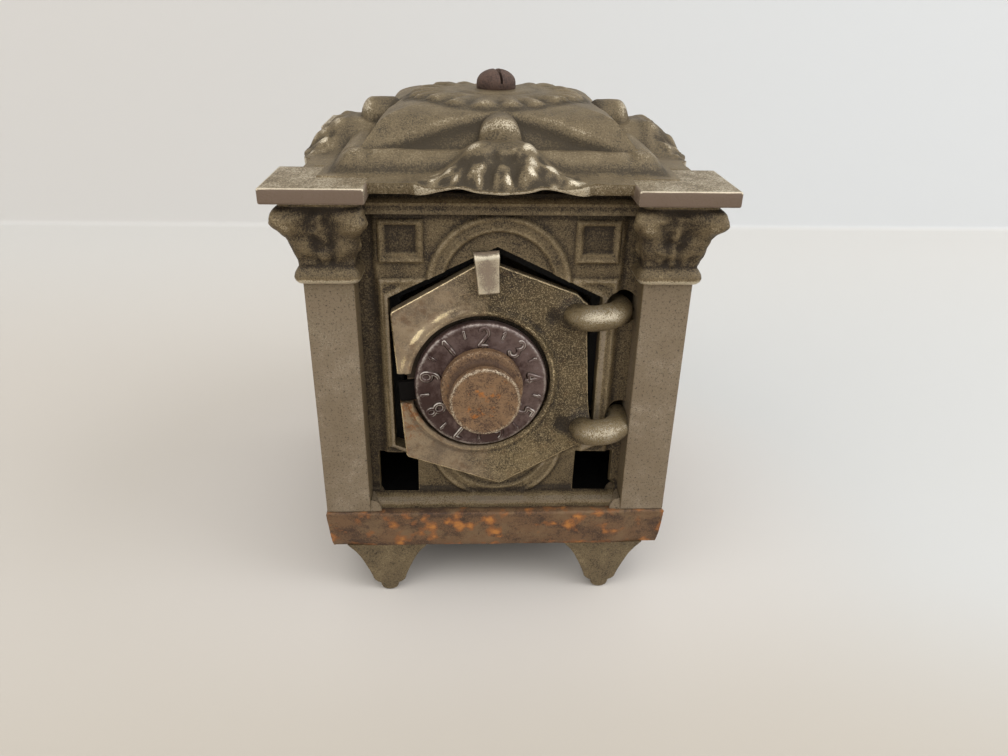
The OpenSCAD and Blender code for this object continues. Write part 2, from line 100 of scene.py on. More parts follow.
HINGE = joint("door_hinge")
THROW = joint("bolt_throw")
DIAL = joint("dial_turn")
DOOR_UP = np.array(HINGE["axis"])
DOOR_RIGHT = -np.array(THROW["axis"])
DOOR_IN = -np.array(DIAL["axis"])
MIDDLE = np.array([0, sum(corner[1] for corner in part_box("roof")) / 2 / MM, 0])
KNOB_FACE = (np.array(DIAL["pos_m"]) / MM - KNOB_OUT * DOOR_IN)[[0, 2]].tolist()
DOOR_CENTRE = np.array(DIAL["pos_m"]) / MM - LOCK_U * DOOR_RIGHT - LOCK_W * DOOR_UP - MIDDLE


def hung(points):
    """Points across, into and up the door, in millimetres, moved to where the door hangs.

    The result is measured from the middle of the walls, as all points of the castings are.
    """
    points = np.asarray(points, float)
    return DOOR_CENTRE + points @ np.stack([DOOR_RIGHT, DOOR_IN, DOOR_UP])


# Numbers for uneven castings


def lattice(ijk, seed):
    """A fixed random number from 0 to 1 for each point of a whole-numbered grid."""
    i, j, k = (ijk[..., n].astype(np.int64) for n in range(3))
    h = (i * 374761393 + j * 668265263 + k * 2147483647 + seed * 974634777) & 0xFFFFFFFF
    h = ((h ^ (h >> 13)) * 1274126177) & 0xFFFFFFFF
    return ((h ^ (h >> 16)) & 0xFFFF) / 65535.0


def unevenness(points, size, seed=0):
    """Soft noise from -1 to 1 with lumps of about the given size, in millimetres."""
    p = np.asarray(points, float) / size
    base = np.floor(p)
    f = p - base
    f = f * f * (3 - 2 * f)
    total = 0
    for corner in np.ndindex(2, 2, 2):
        weight = np.prod(np.where(np.array(corner) == 1, f, 1 - f), axis=-1)
        total = total + weight * lattice(base + np.array(corner), seed)
    return 2 * total - 1


def smooth_step(low, high, value):
    """0 on low's side, 1 on high's side, smooth between; low may be the larger of the two."""
    t = np.clip((value - low) / (high - low), 0, 1)
    return t * t * (3 - 2 * t)


def soft_max(a, b, blend):
    """The larger of two heights, with a rounded seam where they are within blend of each other."""
    h = np.clip(0.5 + 0.5 * (a - b) / blend, 0, 1)
    return b * (1 - h) + a * h + blend * h * (1 - h)


def dome(du, dv, radius_u, radius_v, height):
    """Height of a rounded lump at offsets du, dv from its middle."""
    return height * np.sqrt(np.clip(1 - (du / radius_u) ** 2 - (dv / radius_v) ** 2, 0, 1))


def hill(du, dv, radius_u, radius_v, height):
    """A soft lump that fades out on all sides."""
    return height * np.exp(-((du / radius_u) ** 2) - (dv / radius_v) ** 2)


def blurred(field, reach, wrap=False):
    """Mean of a grid of numbers over the points within reach rows and columns."""
    n = 2 * reach + 1
    for axis in (0, 1):
        sides = [(reach, reach) if k == axis else (0, 0) for k in (0, 1)]
        padded = np.pad(field, sides, mode="wrap" if wrap and axis == 1 else "edge")
        total = np.insert(np.cumsum(padded, axis), 0, 0, axis)
        count = total.shape[axis]
        field = (np.take(total, range(n, count), axis) - np.take(total, range(count - n), axis)) / n
    return field


def proud(field, reach, wrap=False):
    """How far each point of a relief stands above the points round it."""
    return field - blurred(blurred(field, reach, wrap), reach, wrap)


# Mesh building


def grid_faces(rows, cols, wrap=False, flip=False):
    """Four-sided faces between the points of a grid; wrap joins the last column to the first."""
    r, c = np.meshgrid(np.arange(rows - 1), np.arange(cols if wrap else cols - 1), indexing="ij")
    a = r * cols + c
    b = r * cols + (c + 1) % cols
    quad = np.stack([a, b, b + cols, a + cols], -1).reshape(-1, 4)
    return quad[:, ::-1] if flip else quad


def casting(name, points, faces, material, body, replaced=(), wear_and_painted_light=None, sharp=40):
    """Makes one piece from points in millimetres from the middle of the walls, and rides it on a body."""
    mesh = bpy.data.meshes.new(name)
    points = (np.asarray(points, float) + MIDDLE) * MM
    mesh.from_pydata(points.tolist(), [], [list(map(int, f)) for f in faces])
    mesh.validate()
    mesh.update()
    # The wear layer holds rubbing and dirt, and also painted highlights and painted shade
    if wear_and_painted_light is not None:
        layer = mesh.attributes.new("wear_and_painted_light", "FLOAT", "POINT")
        layer.data.foreach_set("value", np.asarray(wear_and_painted_light, np.float32))
    obj = bpy.data.objects.new(name, mesh)
    bpy.context.scene.collection.objects.link(obj)
    soften(obj, sharp)
    mesh.materials.append(material)
    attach(obj, body)
    if replaced:
        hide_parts(*replaced)
    return obj


def soften(obj, sharp=45):
    """Smooth shading with sharp edges past an angle, also after cutting."""
    obj.data.shade_smooth()
    obj.data.set_sharp_from_angle(angle=math.radians(sharp))


class Shell:
    """Collects points and faces of one casting."""

    def __init__(self):
        self.points, self.faces, self.wear_and_painted_light, self.count = [], [], [], 0

    def add(self, points, faces, wear_and_painted_light=0.0):
        points = np.asarray(points, float).reshape(-1, 3)
        self.points.append(points)
        self.faces += [tuple(int(i) + self.count for i in f) for f in faces]
        self.wear_and_painted_light.append(np.broadcast_to(np.asarray(wear_and_painted_light, float), (len(points),)).copy())
        self.count += len(points)

    def grid(self, points, wrap=False, flip=False, wear_and_painted_light=0.0, ends=False):
        """A grid of points as faces; ends closes the first and the last row."""
        rows, cols = points.shape[:2]
        faces = [tuple(f) for f in grid_faces(rows, cols, wrap, flip)]
        if ends:
            turned = -1 if flip else 1
            faces += [tuple(range(cols))[::-turned], tuple(range((rows - 1) * cols, rows * cols))[::turned]]
        self.add(points, faces, np.reshape(wear_and_painted_light, -1) if np.ndim(wear_and_painted_light) == 2 else wear_and_painted_light)

    def block(self, low, high, bevel, segments, wear_and_painted_light=0.0):
        """A box with rounded edges."""
        bm = bmesh.new()
        bmesh.ops.create_cube(bm, size=1)
        low, high = np.array(low, float), np.array(high, float)
        for v in bm.verts:
            v.co = low + (np.array(v.co) + 0.5) * (high - low)
        bmesh.ops.bevel(bm, geom=bm.edges[:], offset=bevel, segments=segments, profile=0.6, affect="EDGES")
        bmesh.ops.triangulate(bm, faces=[f for f in bm.faces if len(f.verts) > 4])
        bm.verts.index_update()
        self.add([v.co[:] for v in bm.verts], [[v.index for v in f.verts] for f in bm.faces], wear_and_painted_light)
        bm.free()

    def turned(self, profile, around, wear_and_painted_light, uneven=0.0, place=lambda p: p + [LOCK_U, 0, LOCK_W]):
        """A turned form from a profile of radius and height, on the lock's axis unless placed."""
        profile = np.asarray(profile, float)
        angle = np.linspace(0, 2 * np.pi, around, endpoint=False)
        r = profile[:, :1]
        pts = np.stack([r * np.cos(angle), -np.repeat(profile[:, 1:2], around, 1), r * np.sin(angle)], -1)
        if uneven:
            pts[..., 1] += uneven * unevenness(pts, 1.6, 3) * (r > 0.2)
        self.grid(place(pts), wrap=True, wear_and_painted_light=np.repeat(np.asarray(wear_and_painted_light, float)[:, None], around, 1))

    def tube(self, path, radii, around):
        """A rod of changing radius along a path, closed at both ends."""
        tangent = np.gradient(path, axis=0)
        tangent /= np.linalg.norm(tangent, axis=1, keepdims=True)
        side = np.cross(tangent, np.array([0.013, 0.021, 1.0]))
        side /= np.linalg.norm(side, axis=1, keepdims=True)
        up = np.cross(side, tangent)
        angle = np.linspace(0, 2 * np.pi, around, endpoint=False)
        ring = side[:, None] * np.cos(angle)[None, :, None] + up[:, None] * np.sin(angle)[None, :, None]
        pts = path[:, None] + ring * radii[..., None]
        self.grid(pts, wrap=True, flip=True, ends=True)

    def finish(self, name, material, body, replaced=(), slot="casting", sharp=40, move=None):
        points = np.concatenate(self.points)
        points = move(points) if move else points
        return casting(name, points, self.faces, material, body, replaced, np.concatenate(self.wear_and_painted_light),
                       sharp)


def cut(obj, cutters, wear_and_painted_light=-2.0):
    """Takes closed cutters, given as points and faces, out of a piece; wear is for the new faces, and its
    default of -2 paints them black as painted shade.
    """
    shell = Shell()
    for points, faces in cutters:
        shell.add(points, faces)
    mesh = bpy.data.meshes.new("cutter")
    mesh.from_pydata(((np.concatenate(shell.points) + MIDDLE) * MM).tolist(), [], shell.faces)
    mesh.attributes.new("wear_and_painted_light", "FLOAT", "POINT").data.foreach_set("value",
                                                                   np.full(shell.count, wear_and_painted_light, np.float32))
    tool = bpy.data.objects.new("cutter", mesh)
    bpy.context.scene.collection.objects.link(tool)
    modifier = obj.modifiers.new("cut", "BOOLEAN")
    modifier.operation, modifier.solver, modifier.object = "DIFFERENCE", "EXACT", tool
    depsgraph = bpy.context.evaluated_depsgraph_get()
    result = bpy.data.meshes.new_from_object(obj.evaluated_get(depsgraph), depsgraph=depsgraph)
    if len(result.polygons) < 12:
        raise RuntimeError(f"cutting left nothing of {obj.name}")
    obj.modifiers.remove(modifier)
    obj.data = result
    bpy.data.objects.remove(tool)


def prism(outline, low, high, drop=0.0):
    """A closed prism over an outline of x and z, from depth low to depth high.

    drop lowers the lower half of its far end.
    """
    outline = np.asarray(outline, float)
    n = len(outline)
    ends = [np.insert(outline, 1, depth, axis=1) for depth in (low, high)]
    ends[1][:, 2] -= drop * (outline[:, 1] < outline[:, 1].mean())
    faces = [tuple(range(n)), tuple(range(2 * n - 1, n - 1, -1))]
    faces += [((i + 1) % n, i, n + i, n + (i + 1) % n) for i in range(n)]
    return np.concatenate(ends), faces


def six_sided(grow):
    """Corners of the door opening's outline, grown on all sides."""
    half, side, rise = OPENING
    slope = math.atan(rise / half)
    top = side + rise + grow / math.cos(slope)
    knee = top - rise / half * (half + grow)
    wide = half + grow
    outline = [[0, -top], [wide, -knee], [wide, knee], [0, top], [-wide, knee], [-wide, -knee]]
    return np.array(outline) + [OPENING_X, OPENING_Z]


def six_distance(x, z, half, side, rise):
    """How far a point lies outside the six-sided outline; negative inside."""
    slope = math.atan(rise / half)
    upright = np.abs(x) - half
    slanted = (np.abs(z) - (side + rise) + np.abs(x) * rise / half) * math.cos(slope)
    return np.maximum(upright, slanted)


# Finishes


def srgb(red, green, blue):
    """Colour as linear numbers, from red, green and blue of 0 to 255."""
    return tuple(((c / 255 + 0.055) / 1.055) ** 2.4 if c > 10 else c / 255 / 12.92
                 for c in (red, green, blue))


class Wire:
    """An output socket that can be used in sums."""

    def __init__(self, look, socket):
        self.look, self.socket = look, socket

    def maths(self, operation, a, b):
        return self.look.node("ShaderNodeMath", {"operation": operation}, {0: a, 1: b})

    def __add__(self, other):
        return self.maths("ADD", self, other)

    def __sub__(self, other):
        return self.maths("SUBTRACT", self, other)

    def __mul__(self, other):
        return self.maths("MULTIPLY", self, other)

    def __truediv__(self, other):
        return self.maths("DIVIDE", self, other)

    def __rsub__(self, other):
        return self.maths("SUBTRACT", other, self)

    def __rtruediv__(self, other):
        return self.maths("DIVIDE", other, self)

    def __pow__(self, other):
        return self.maths("POWER", self, other)

    __radd__, __rmul__ = __add__, __mul__


class Look:
    """A material whose nodes are made one call at a time."""

    def __init__(self, name, **fixed):
        self.material = bpy.data.materials.new(name)
        self.material.use_nodes = True
        self.tree = self.material.node_tree
        self.shader = self.tree.nodes["Principled BSDF"]
        for socket, value in fixed.items():
            self.shader.inputs[self.called(socket)].default_value = value
        self.place = self.node("ShaderNodeTexCoord", out="Object")

    @staticmethod
    def called(word):
        return word.replace("_", " ").title().replace("Ior", "IOR")

    def node(self, kind, settings=None, values=None, out=0):
        made = self.tree.nodes.new(kind)
        for key, value in (settings or {}).items():
            setattr(made, key, value)
        for key, value in (values or {}).items():
            self.feed(made.inputs[key], value)
        return Wire(self, made.outputs[out])

    def feed(self, socket, value):
        if isinstance(value, Wire):
            self.tree.links.new(value.socket, socket)
        elif socket.type == "RGBA" and len(value) == 3:
            socket.default_value = (*value, 1)
        else:
            socket.default_value = value

    def set(self, **sockets):
        for name, value in sockets.items():
            self.feed(self.shader.inputs[self.called(name)], value)

    def noise(self, size, detail=4.0, roughness=0.6, shift=(0, 0, 0), stretch=(1, 1, 1)):
        """Noise from 0 to 1 with lumps of about the given size in millimetres."""
        at = self.node("ShaderNodeMapping", None, {"Vector": self.place, "Location": shift, "Scale": stretch})
        values = {"Vector": at, "Scale": 1 / (size * MM), "Detail": detail, "Roughness": roughness}
        return self.node("ShaderNodeTexNoise", None, values)

    def step(self, wire, low, high):
        """0 below low, 1 above high, smooth between."""
        values = {"Value": wire, "From Min": low, "From Max": high}
        return self.node("ShaderNodeMapRange", {"interpolation_type": "SMOOTHSTEP"}, values)

    def mix(self, factor, a, b):
        return self.node("ShaderNodeMix", {"data_type": "RGBA"}, {0: factor, 6: a, 7: b}, out=2)

    def over(self, colour, other, wire, low, high, amount=None):
        """Another colour laid over a colour, where the wire goes from low to high."""
        factor = self.step(wire, low, high)
        return self.mix(factor if amount is None else factor * amount, colour, other)

    def wear_and_painted_light(self):
        """What the mesh says: above 0 bright, from rubbing and from painted highlights; below 0 dark, from
        dirt and from painted shade.
        """
        return self.node("ShaderNodeAttribute", {"attribute_name": "wear_and_painted_light"}, out="Fac")

    def along(self, axis):
        """Place along an axis of the bank, in millimetres."""
        return self.node("ShaderNodeSeparateXYZ", None, {"Vector": self.place}, out=axis) * 1000.0

    def bump(self, height, depth):
        values = {"Height": height, "Distance": depth * MM, "Strength": 1.0}
        self.set(normal=self.node("ShaderNodeBump", None, values, out="Normal"))


def old_iron(name, dirt, patina, pale, rubbed_and_highlight, pits=0.5, shine=0.38, even=1.0, grit=1.0, glints=0.6,
             pit=None, stain=None):
    """Old plated cast iron: dirt and painted shade in hollows, mottled patina, bare plating where it is
    rubbed and painted highlights on raised parts.
    """
    look = Look(name, specular_ior_level=0.5)
    wear_and_painted_light = look.wear_and_painted_light()
    mottle = look.noise(5.0, 5.0, 0.62)
    sand = look.noise(0.50, 3.0, 0.72)
    grain = look.noise(0.26, 2.0, 0.6, shift=(3, 1, 2))
    fleck = (sand - 0.5) * (0.9 * grit) + (grain - 0.5) * (1.4 * grit)
    tone = 0.5 + (mottle - 0.5) * (1.0 * even) + fleck + wear_and_painted_light * 0.55
    colour = look.over(dirt, patina, tone, 0.06, 0.50)
    colour = look.over(colour, pale, tone, 0.52, 0.98)
    if stain:
        film = look.step(look.along("Z") + (mottle - 0.5) * 60.0 + (sand - 0.5) * 30.0, stain[0], stain[1])
        colour = look.mix(film * 0.8, colour, stain[2])
    specks = look.step(sand * 0.6 + grain * 0.4 + wear_and_painted_light * 0.10, 0.535, 0.60)
    colour = look.mix(specks * glints, colour, pale)
    # Rubbed plating and painted highlights, where the wear value is high
    bright = look.step(wear_and_painted_light * 1.15 + (mottle - 0.5) * 0.7 + fleck * 0.9, 0.30, 0.80)
    colour = look.mix(bright, colour, rubbed_and_highlight)
    # Dirt and painted shade, where the wear value is low
    grime_and_shade = look.step(wear_and_painted_light * -1.1 + (mottle - 0.5) * 0.5 - fleck * 0.3, 0.10, 0.80)
    colour = look.mix(grime_and_shade * (1.0 - look.step(sand * 0.6 + grain * 0.4, 0.45, 0.58) * 0.6), colour, dirt)
    colour = look.mix(look.step(sand + (grain - 0.5) * 0.6, 0.57, 0.65) * pits, colour, pit or dirt)
    # Painted shade: black where the wear value is below -1.3
    colour = look.over(colour, PAINTED_SHADE_BLACK, wear_and_painted_light * -1.0, 1.3, 1.9)
    rough = 0.56 - bright * (0.56 - shine) + grime_and_shade * 0.2 + (sand - 0.5) * 0.3
    look.set(base_color=colour, roughness=rough, metallic=0.35 + bright * 0.45)
    look.bump(sand * (0.6 * grit) + grain * (0.35 * grit) + mottle * 0.5, 0.30)
    return look.material


def rusty_slab(colours):
    """The base slab: brown film with spots of orange rust, and painted shade, from dirt colour to black,
    where the wear value is low.
    """
    look = Look("rusty_slab", specular_ior_level=0.4)
    wear_and_painted_light = look.wear_and_painted_light()
    broad = look.noise(9.0, 4.0, 0.6, stretch=(1, 1, 2.2))
    sand = look.noise(0.6, 3.0, 0.72)
    grain = look.noise(0.30, 2.0, 0.6, shift=(3, 1, 2))
    fleck = (sand - 0.5) * 0.8 + (grain - 0.5) * 0.9
    colour = look.over(colours.slab_dark, colours.slab, 0.5 + (broad - 0.5) * 1.3 + fleck * 0.7, 0.22, 0.66)
    film = look.step(look.noise(6.0, 4.0, 0.6, shift=(5, 5, 1)) + fleck * 0.1, 0.46, 0.64)
    colour = look.mix(film * 0.65, colour, colours.slab_pale)
    blots = look.noise(4.4, 2.0, 0.5, shift=(2, 9, 4), stretch=(1, 1, 1.15)) + fleck * 0.10
    orange = look.step(blots, 0.525, 0.62)
    colour = look.mix(orange * 0.85, colour, colours.rust)
    colour = look.over(colour, colours.rust_bright, blots, 0.60, 0.70, 0.8)
    dark = look.step(look.noise(2.4, 3.0, 0.65, shift=(9, 3, 7)) + fleck * 0.12, 0.60, 0.70)
    colour = look.mix(dark * 0.7, colour, colours.slab_dark)
    colour = look.over(colour, colours.slab_pale, wear_and_painted_light, 0.2, 0.9, 0.7)
    # Painted shade on the slab's top under the walls: dirt colour, then black
    colour = look.over(colour, colours.dirt, wear_and_painted_light * -1.0, 0.1, 0.8, 0.93)
    colour = look.over(colour, PAINTED_SHADE_BLACK, wear_and_painted_light * -1.0, 1.3, 1.9)
    look.set(base_color=colour, roughness=0.74 - broad * 0.25, metallic=0.25 - orange * 0.2)
    look.bump(sand * 0.6 + broad * 0.8 + grain * 0.3, 0.28)
    return look.material


def door_iron(colours):
    """The door: smoother and greyer to the left, dirty and grainy to the right, rust by the bolt."""
    look = Look("door_iron", specular_ior_level=0.5)
    wear_and_painted_light = look.wear_and_painted_light()
    x, z = look.along("X"), look.along("Z")
    mottle = look.noise(5.0, 5.0, 0.62)
    sand = look.noise(0.46, 3.0, 0.72)
    grain = look.noise(0.25, 2.0, 0.6, shift=(3, 1, 2))
    left = look.step(x * -1.0 + (mottle - 0.5) * 18.0 - (z - 55.0) * 0.10, -2.0, 11.0)
    fleck = ((sand - 0.5) * 0.9 + (grain - 0.5) * 1.2) * (1.0 - left * 0.4)
    tone = 0.5 + (mottle - 0.5) * 1.1 + fleck + wear_and_painted_light * 0.4
    lower = look.step(z * -1.0 + (mottle - 0.5) * 10.0, -47.0, -38.0)
    film = look.mix(lower, colours.door_right, colours.door_low)
    dirty = look.over(colours.dirt, film, tone, 0.06, 0.62)
    dirty = look.over(dirty, colours.pale, tone, 0.62, 1.0, 0.8)
    dirty = look.over(dirty, look.mix(0.25, tuple(colours.pale), tuple(colours.gold)),
                      grain * 0.7 + sand * 0.3, 0.53, 0.61, 0.75)
    smooth = look.over(colours.door_dark, colours.door_left, tone, 0.22, 0.62)
    brown = look.step(look.noise(3.0, 4.0, 0.65, shift=(8, 3, 2)) + fleck * 0.1, 0.52, 0.66)
    smooth = look.mix(brown * 0.55, smooth, colours.door_brown)
    colour = look.mix(left, dirty, smooth)
    near = look.step(31.0 - ((x + 23.0) ** 2.0 + ((z - 49.0) * 0.62) ** 2.0) ** 0.5 * 3.4, 0.0, 16.0)
    spots = look.step(look.noise(2.0, 4.0, 0.68, shift=(1, 7, 3)) + near * 0.10 + fleck * 0.2, 0.54, 0.70)
    colour = look.mix(spots * (near * 0.75 + 0.10), colour, colours.rust)
    # Rubbed metal and painted highlights where the wear value is high: the door's edge, the bead and the
    # crescent by the dial
    bright = look.step(wear_and_painted_light + (mottle - 0.5) * 0.7 + (fleck + (sand - 0.5) * 1.2) * 0.9, 0.34, 0.86)
    colour = look.mix(bright, colour, colours.gold)
    # Dirt and painted shade where the wear value is low: beside the bead, round the hook roots, in the pits
    # and in the pocket
    colour = look.over(colour, colours.dirt, wear_and_painted_light * -1.0 - fleck * 0.3, 0.1, 0.9, 0.85)
    colour = look.over(colour, colours.dirt, grain + (sand - 0.5) * 0.6, 0.62, 0.76, 0.35)
    look.set(base_color=colour, roughness=0.58 - left * 0.14 - bright * 0.2,
             metallic=0.4 + bright * 0.4 + left * 0.15)
    look.bump((sand * 0.6 + grain * 0.35) * (1.0 - left * 0.5) + mottle * 0.4, 0.28)
    return look.material


def dial_plate(colours):
    """The dial: cloudy plating with a painted highlight towards the upper right, painted highlights on the
    rim and the numerals' edges, and painted shadow beside the numerals.
    """
    look = Look("dial_plate", specular_ior_level=0.5)
    wear_and_painted_light = look.wear_and_painted_light()
    cloud = look.noise(4.6, 3.0, 0.55)
    small = look.noise(1.5, 4.0, 0.65, shift=(4, 2, 8))
    sand = look.noise(0.45, 3.0, 0.7)
    x, z = look.along("X"), look.along("Z")
    # Painted highlight: the tone rises towards the upper right
    tone = 0.5 + (cloud - 0.5) * 0.8 + (small - 0.5) * 0.7 + (sand - 0.5) * 0.3 + (z - 60.0 + x * 0.8) * 0.010
    colour = look.over(colours.dial_dark, colours.dial, tone, 0.22, 0.66)
    colour = look.over(colour, colours.dial_bright, tone, 0.66, 1.0, 0.8)
    bright = look.step(wear_and_painted_light + (sand - 0.5) * 0.5 + (small - 0.5) * 0.5, 0.30, 0.80)
    colour = look.mix(bright, colour, look.mix(0.6, tuple(colours.bright), tuple(colours.dial_bright)))
    # Painted shadow beside the numerals, in the dirt colour
    colour = look.over(colour, colours.dirt, wear_and_painted_light * -1.0 + (small - 0.5) * 0.4, 0.1, 0.6, 0.85)
    look.set(base_color=colour, roughness=0.44 - bright * 0.16 + (sand - 0.5) * 0.2, metallic=0.72)
    look.bump(sand * 0.35 + cloud * 0.5 + small * 0.4, 0.20)
    return look.material


def rusty_steel(name, dark, mid, rust, bright, orange=0.5, shine=0.4, heart=None):
    """Turned steel gone brown, rubbed bright and given painted highlights on its edges, with painted shade
    where the wear value is low, and orange spots, most of them near the heart.
    """
    look = Look(name, specular_ior_level=0.5)
    wear_and_painted_light = look.wear_and_painted_light()
    cloud = look.noise(2.6, 5.0, 0.65)
    sand = look.noise(0.45, 3.0, 0.75)
    grain = look.noise(0.25, 2.0, 0.6, shift=(3, 1, 2))
    fleck = (sand - 0.5) * 1.0 + (grain - 0.5) * 1.0
    colour = look.over(dark, mid, 0.5 + (cloud - 0.5) * 1.1 + fleck, 0.14, 0.68)
    patches = look.noise(2.6, 4.0, 0.6, shift=(6, 2, 5)) + fleck * 0.12
    if heart:
        reach = ((look.along("X") - heart[0]) ** 2.0 + (look.along("Z") - heart[1]) ** 2.0) ** 0.5
        patches = patches + look.step(reach, 7.5, 1.0) * 0.12 - 0.06
    spots = look.step(patches, 0.66 - 0.12 * orange, 0.80 - 0.12 * orange)
    colour = look.mix(spots * 0.75, colour, rust)
    # Rubbing and painted highlights on the rims
    worn_and_painted_light = look.step(wear_and_painted_light + fleck * 1.1, 0.30, 0.85)
    colour = look.mix(worn_and_painted_light * 0.9, colour, bright)
    # Painted shade where the wear value is low, as in the knob's neck
    colour = look.over(colour, dark, wear_and_painted_light * -1.0, 0.1, 0.8, 0.7)
    look.set(base_color=colour, roughness=0.68 - worn_and_painted_light * (0.68 - shine), metallic=0.35 + worn_and_painted_light * 0.5)
    look.bump(sand * 0.7 + cloud * 0.5 + grain * 0.3, 0.24)
    return look.material


def plain_metal(name, colour, dark, roughness=0.45, metallic=0.9, specular=0.5):
    look = Look(name, specular_ior_level=specular)
    cloud = look.noise(2.0, 4.0, 0.6)
    sand = look.noise(0.4, 3.0, 0.7)
    mixed = look.over(dark, colour, cloud * 0.6 + sand * 0.4, 0.35, 0.62)
    look.set(base_color=mixed, roughness=roughness + (cloud - 0.5) * 0.3, metallic=metallic)
    look.bump(sand * 0.4 + cloud * 0.4, 0.06)
    return look.material


FINISHES = {}


def finish(name):
    """The named finish, made from the scene's colours the first time it is asked for."""
    if name in FINISHES:
        return FINISHES[name]
    c = bpy.context.scene.coin_bank_colours
    makers = {
        "wall": lambda: old_iron("wall_iron", c.dirt, c.patina, c.pale, c.plated, pits=0.35, glints=0.7),
        "post": lambda: old_iron("post_plating", c.patina, c.post_dark, c.plated, c.bright, pits=0.8,
                                 grit=0.6, glints=0.10, pit=c.roof_dark, stain=(66.0, 92.0, c.patina)),
        "leaf": lambda: old_iron("leaf_iron", c.dirt, c.patina, c.pale, c.bright, pits=0.35, glints=0.6),
        "roof": lambda: old_iron("roof_iron", c.roof_hollow, c.roof_mid, c.roof_pale, c.bright, pits=0.3,
                                 shine=0.26, glints=0.5),
        "hook": lambda: old_iron("hook_iron", c.roof_dark, c.door_low, c.hook, c.bright, pits=0.5, shine=0.36,
                                 grit=0.9, glints=0.5),
        "tab": lambda: old_iron("tab_plating", c.pale, c.tab, c.hook, c.bright, pits=0.15, shine=0.3,
                                even=0.5, grit=0.5, glints=0.1),
        "pad": lambda: old_iron("pad_plating", c.roof_mid, c.pad, c.pad, c.bright, pits=0.3, even=0.6,
                                grit=0.45, glints=0.1),
        "feet": lambda: old_iron("feet_iron", c.dirt, c.patina, c.pale, c.plated, pits=0.5, glints=0.5),
        "slab": lambda: rusty_slab(c),
        "door": lambda: door_iron(c),
        "dial": lambda: dial_plate(c),
        "knob": lambda: rusty_steel("knob_steel", c.knob_dark, c.knob, c.knob_rust, c.bright, 0.8, 0.34,
                                    KNOB_FACE),
        "screw": lambda: rusty_steel("screw_steel", c.screw_dark, c.screw, c.slab_dark, c.knob, 0.2, 0.5),
        "steel": lambda: plain_metal("dull_steel", c.steel, c.steel_dark),
        "brass": lambda: plain_metal("dull_brass", c.brass, c.brass_dark, 0.4),
        # The bolt is near black without sheen, as painted shade inside the bank
        "bolt": lambda: plain_metal("bolt_in_painted_shade", c.bolt, c.bolt, 0.8, 0.0, 0.08),
    }
    FINISHES[name] = makers[name]()
    return FINISHES[name]


# Roof


def round_corner(turn, points):
    """Points of the front side turned about the middle by quarter turns."""
    c, s = round(math.cos(turn * math.pi / 2)), round(math.sin(turn * math.pi / 2))
    x, y = points[..., 0], points[..., 1]
    return np.stack([x * c - y * s, x * s + y * c, points[..., 2]], -1)


def roof_profile(w):
    """Height of the roof block at half-width w: platform, slope, groove, bump, cove and eave."""
    at = [0, 9.0, 14.0, 18.0, 19.6, 21.0, 22.4, 23.4, 24.4, 26.0, 27.3, 27.8, 28.3, 29.2, 30.4, 31.4, 32.2,
          32.8, 33.6, 34.8, 36.5, 39.0, 46]
    up = [111.3, 111.15, 110.75, 110.35, 110.0, 109.6, 109.1, 108.6, 107.7, 105.6, 103.95, 103.4, 103.5,
          103.5, 103.0, 102.2, 101.1, 100.3, 99.85, 99.62, 99.5, 99.4, 99.3]
    return np.interp(w, at, up)


def rosette(x, y):
    """Rise of the flower round the screw above the platform, and how bright it is: lighter on the petals'
    tips, darker between the petals and round the flower's rim.
    """
    r, turn = np.hypot(x, y), np.arctan2(y, x)
    wander = 0.10 * np.sin(3 * turn + 1) + 0.07 * np.sin(5 * turn)
    petal = 0.5 + 0.5 * np.cos(22 * turn + 12 * wander)
    rim = 18.7 + 0.9 * petal ** 0.6 + wander * 3
    inside = smooth_step(rim + 0.6, rim - 0.6, r)
    rise = 0.55 * inside + 0.62 * (petal ** 0.7 - 0.55) * smooth_step(10.5, 16.0, r) * inside
    rise = rise + 0.26 * petal * np.exp(-(((r - rim + 2.6) / 2.4) ** 2))
    rise = rise + 0.18 * smooth_step(10.0, 8.0, r) - 0.22 * np.exp(-(((r - 9.3) / 0.8) ** 2))
    worn_and_painted_light = (0.10 * petal * np.exp(-(((r - rim + 1.6) / 1.5) ** 2))
            - 0.55 * (1 - petal) ** 2 * smooth_step(13, 17, r) * inside)
    worn_and_painted_light = worn_and_painted_light - 0.35 * smooth_step(rim - 0.2, rim + 0.5, r) * smooth_step(22.2, 20.8, r)
    return rise, worn_and_painted_light


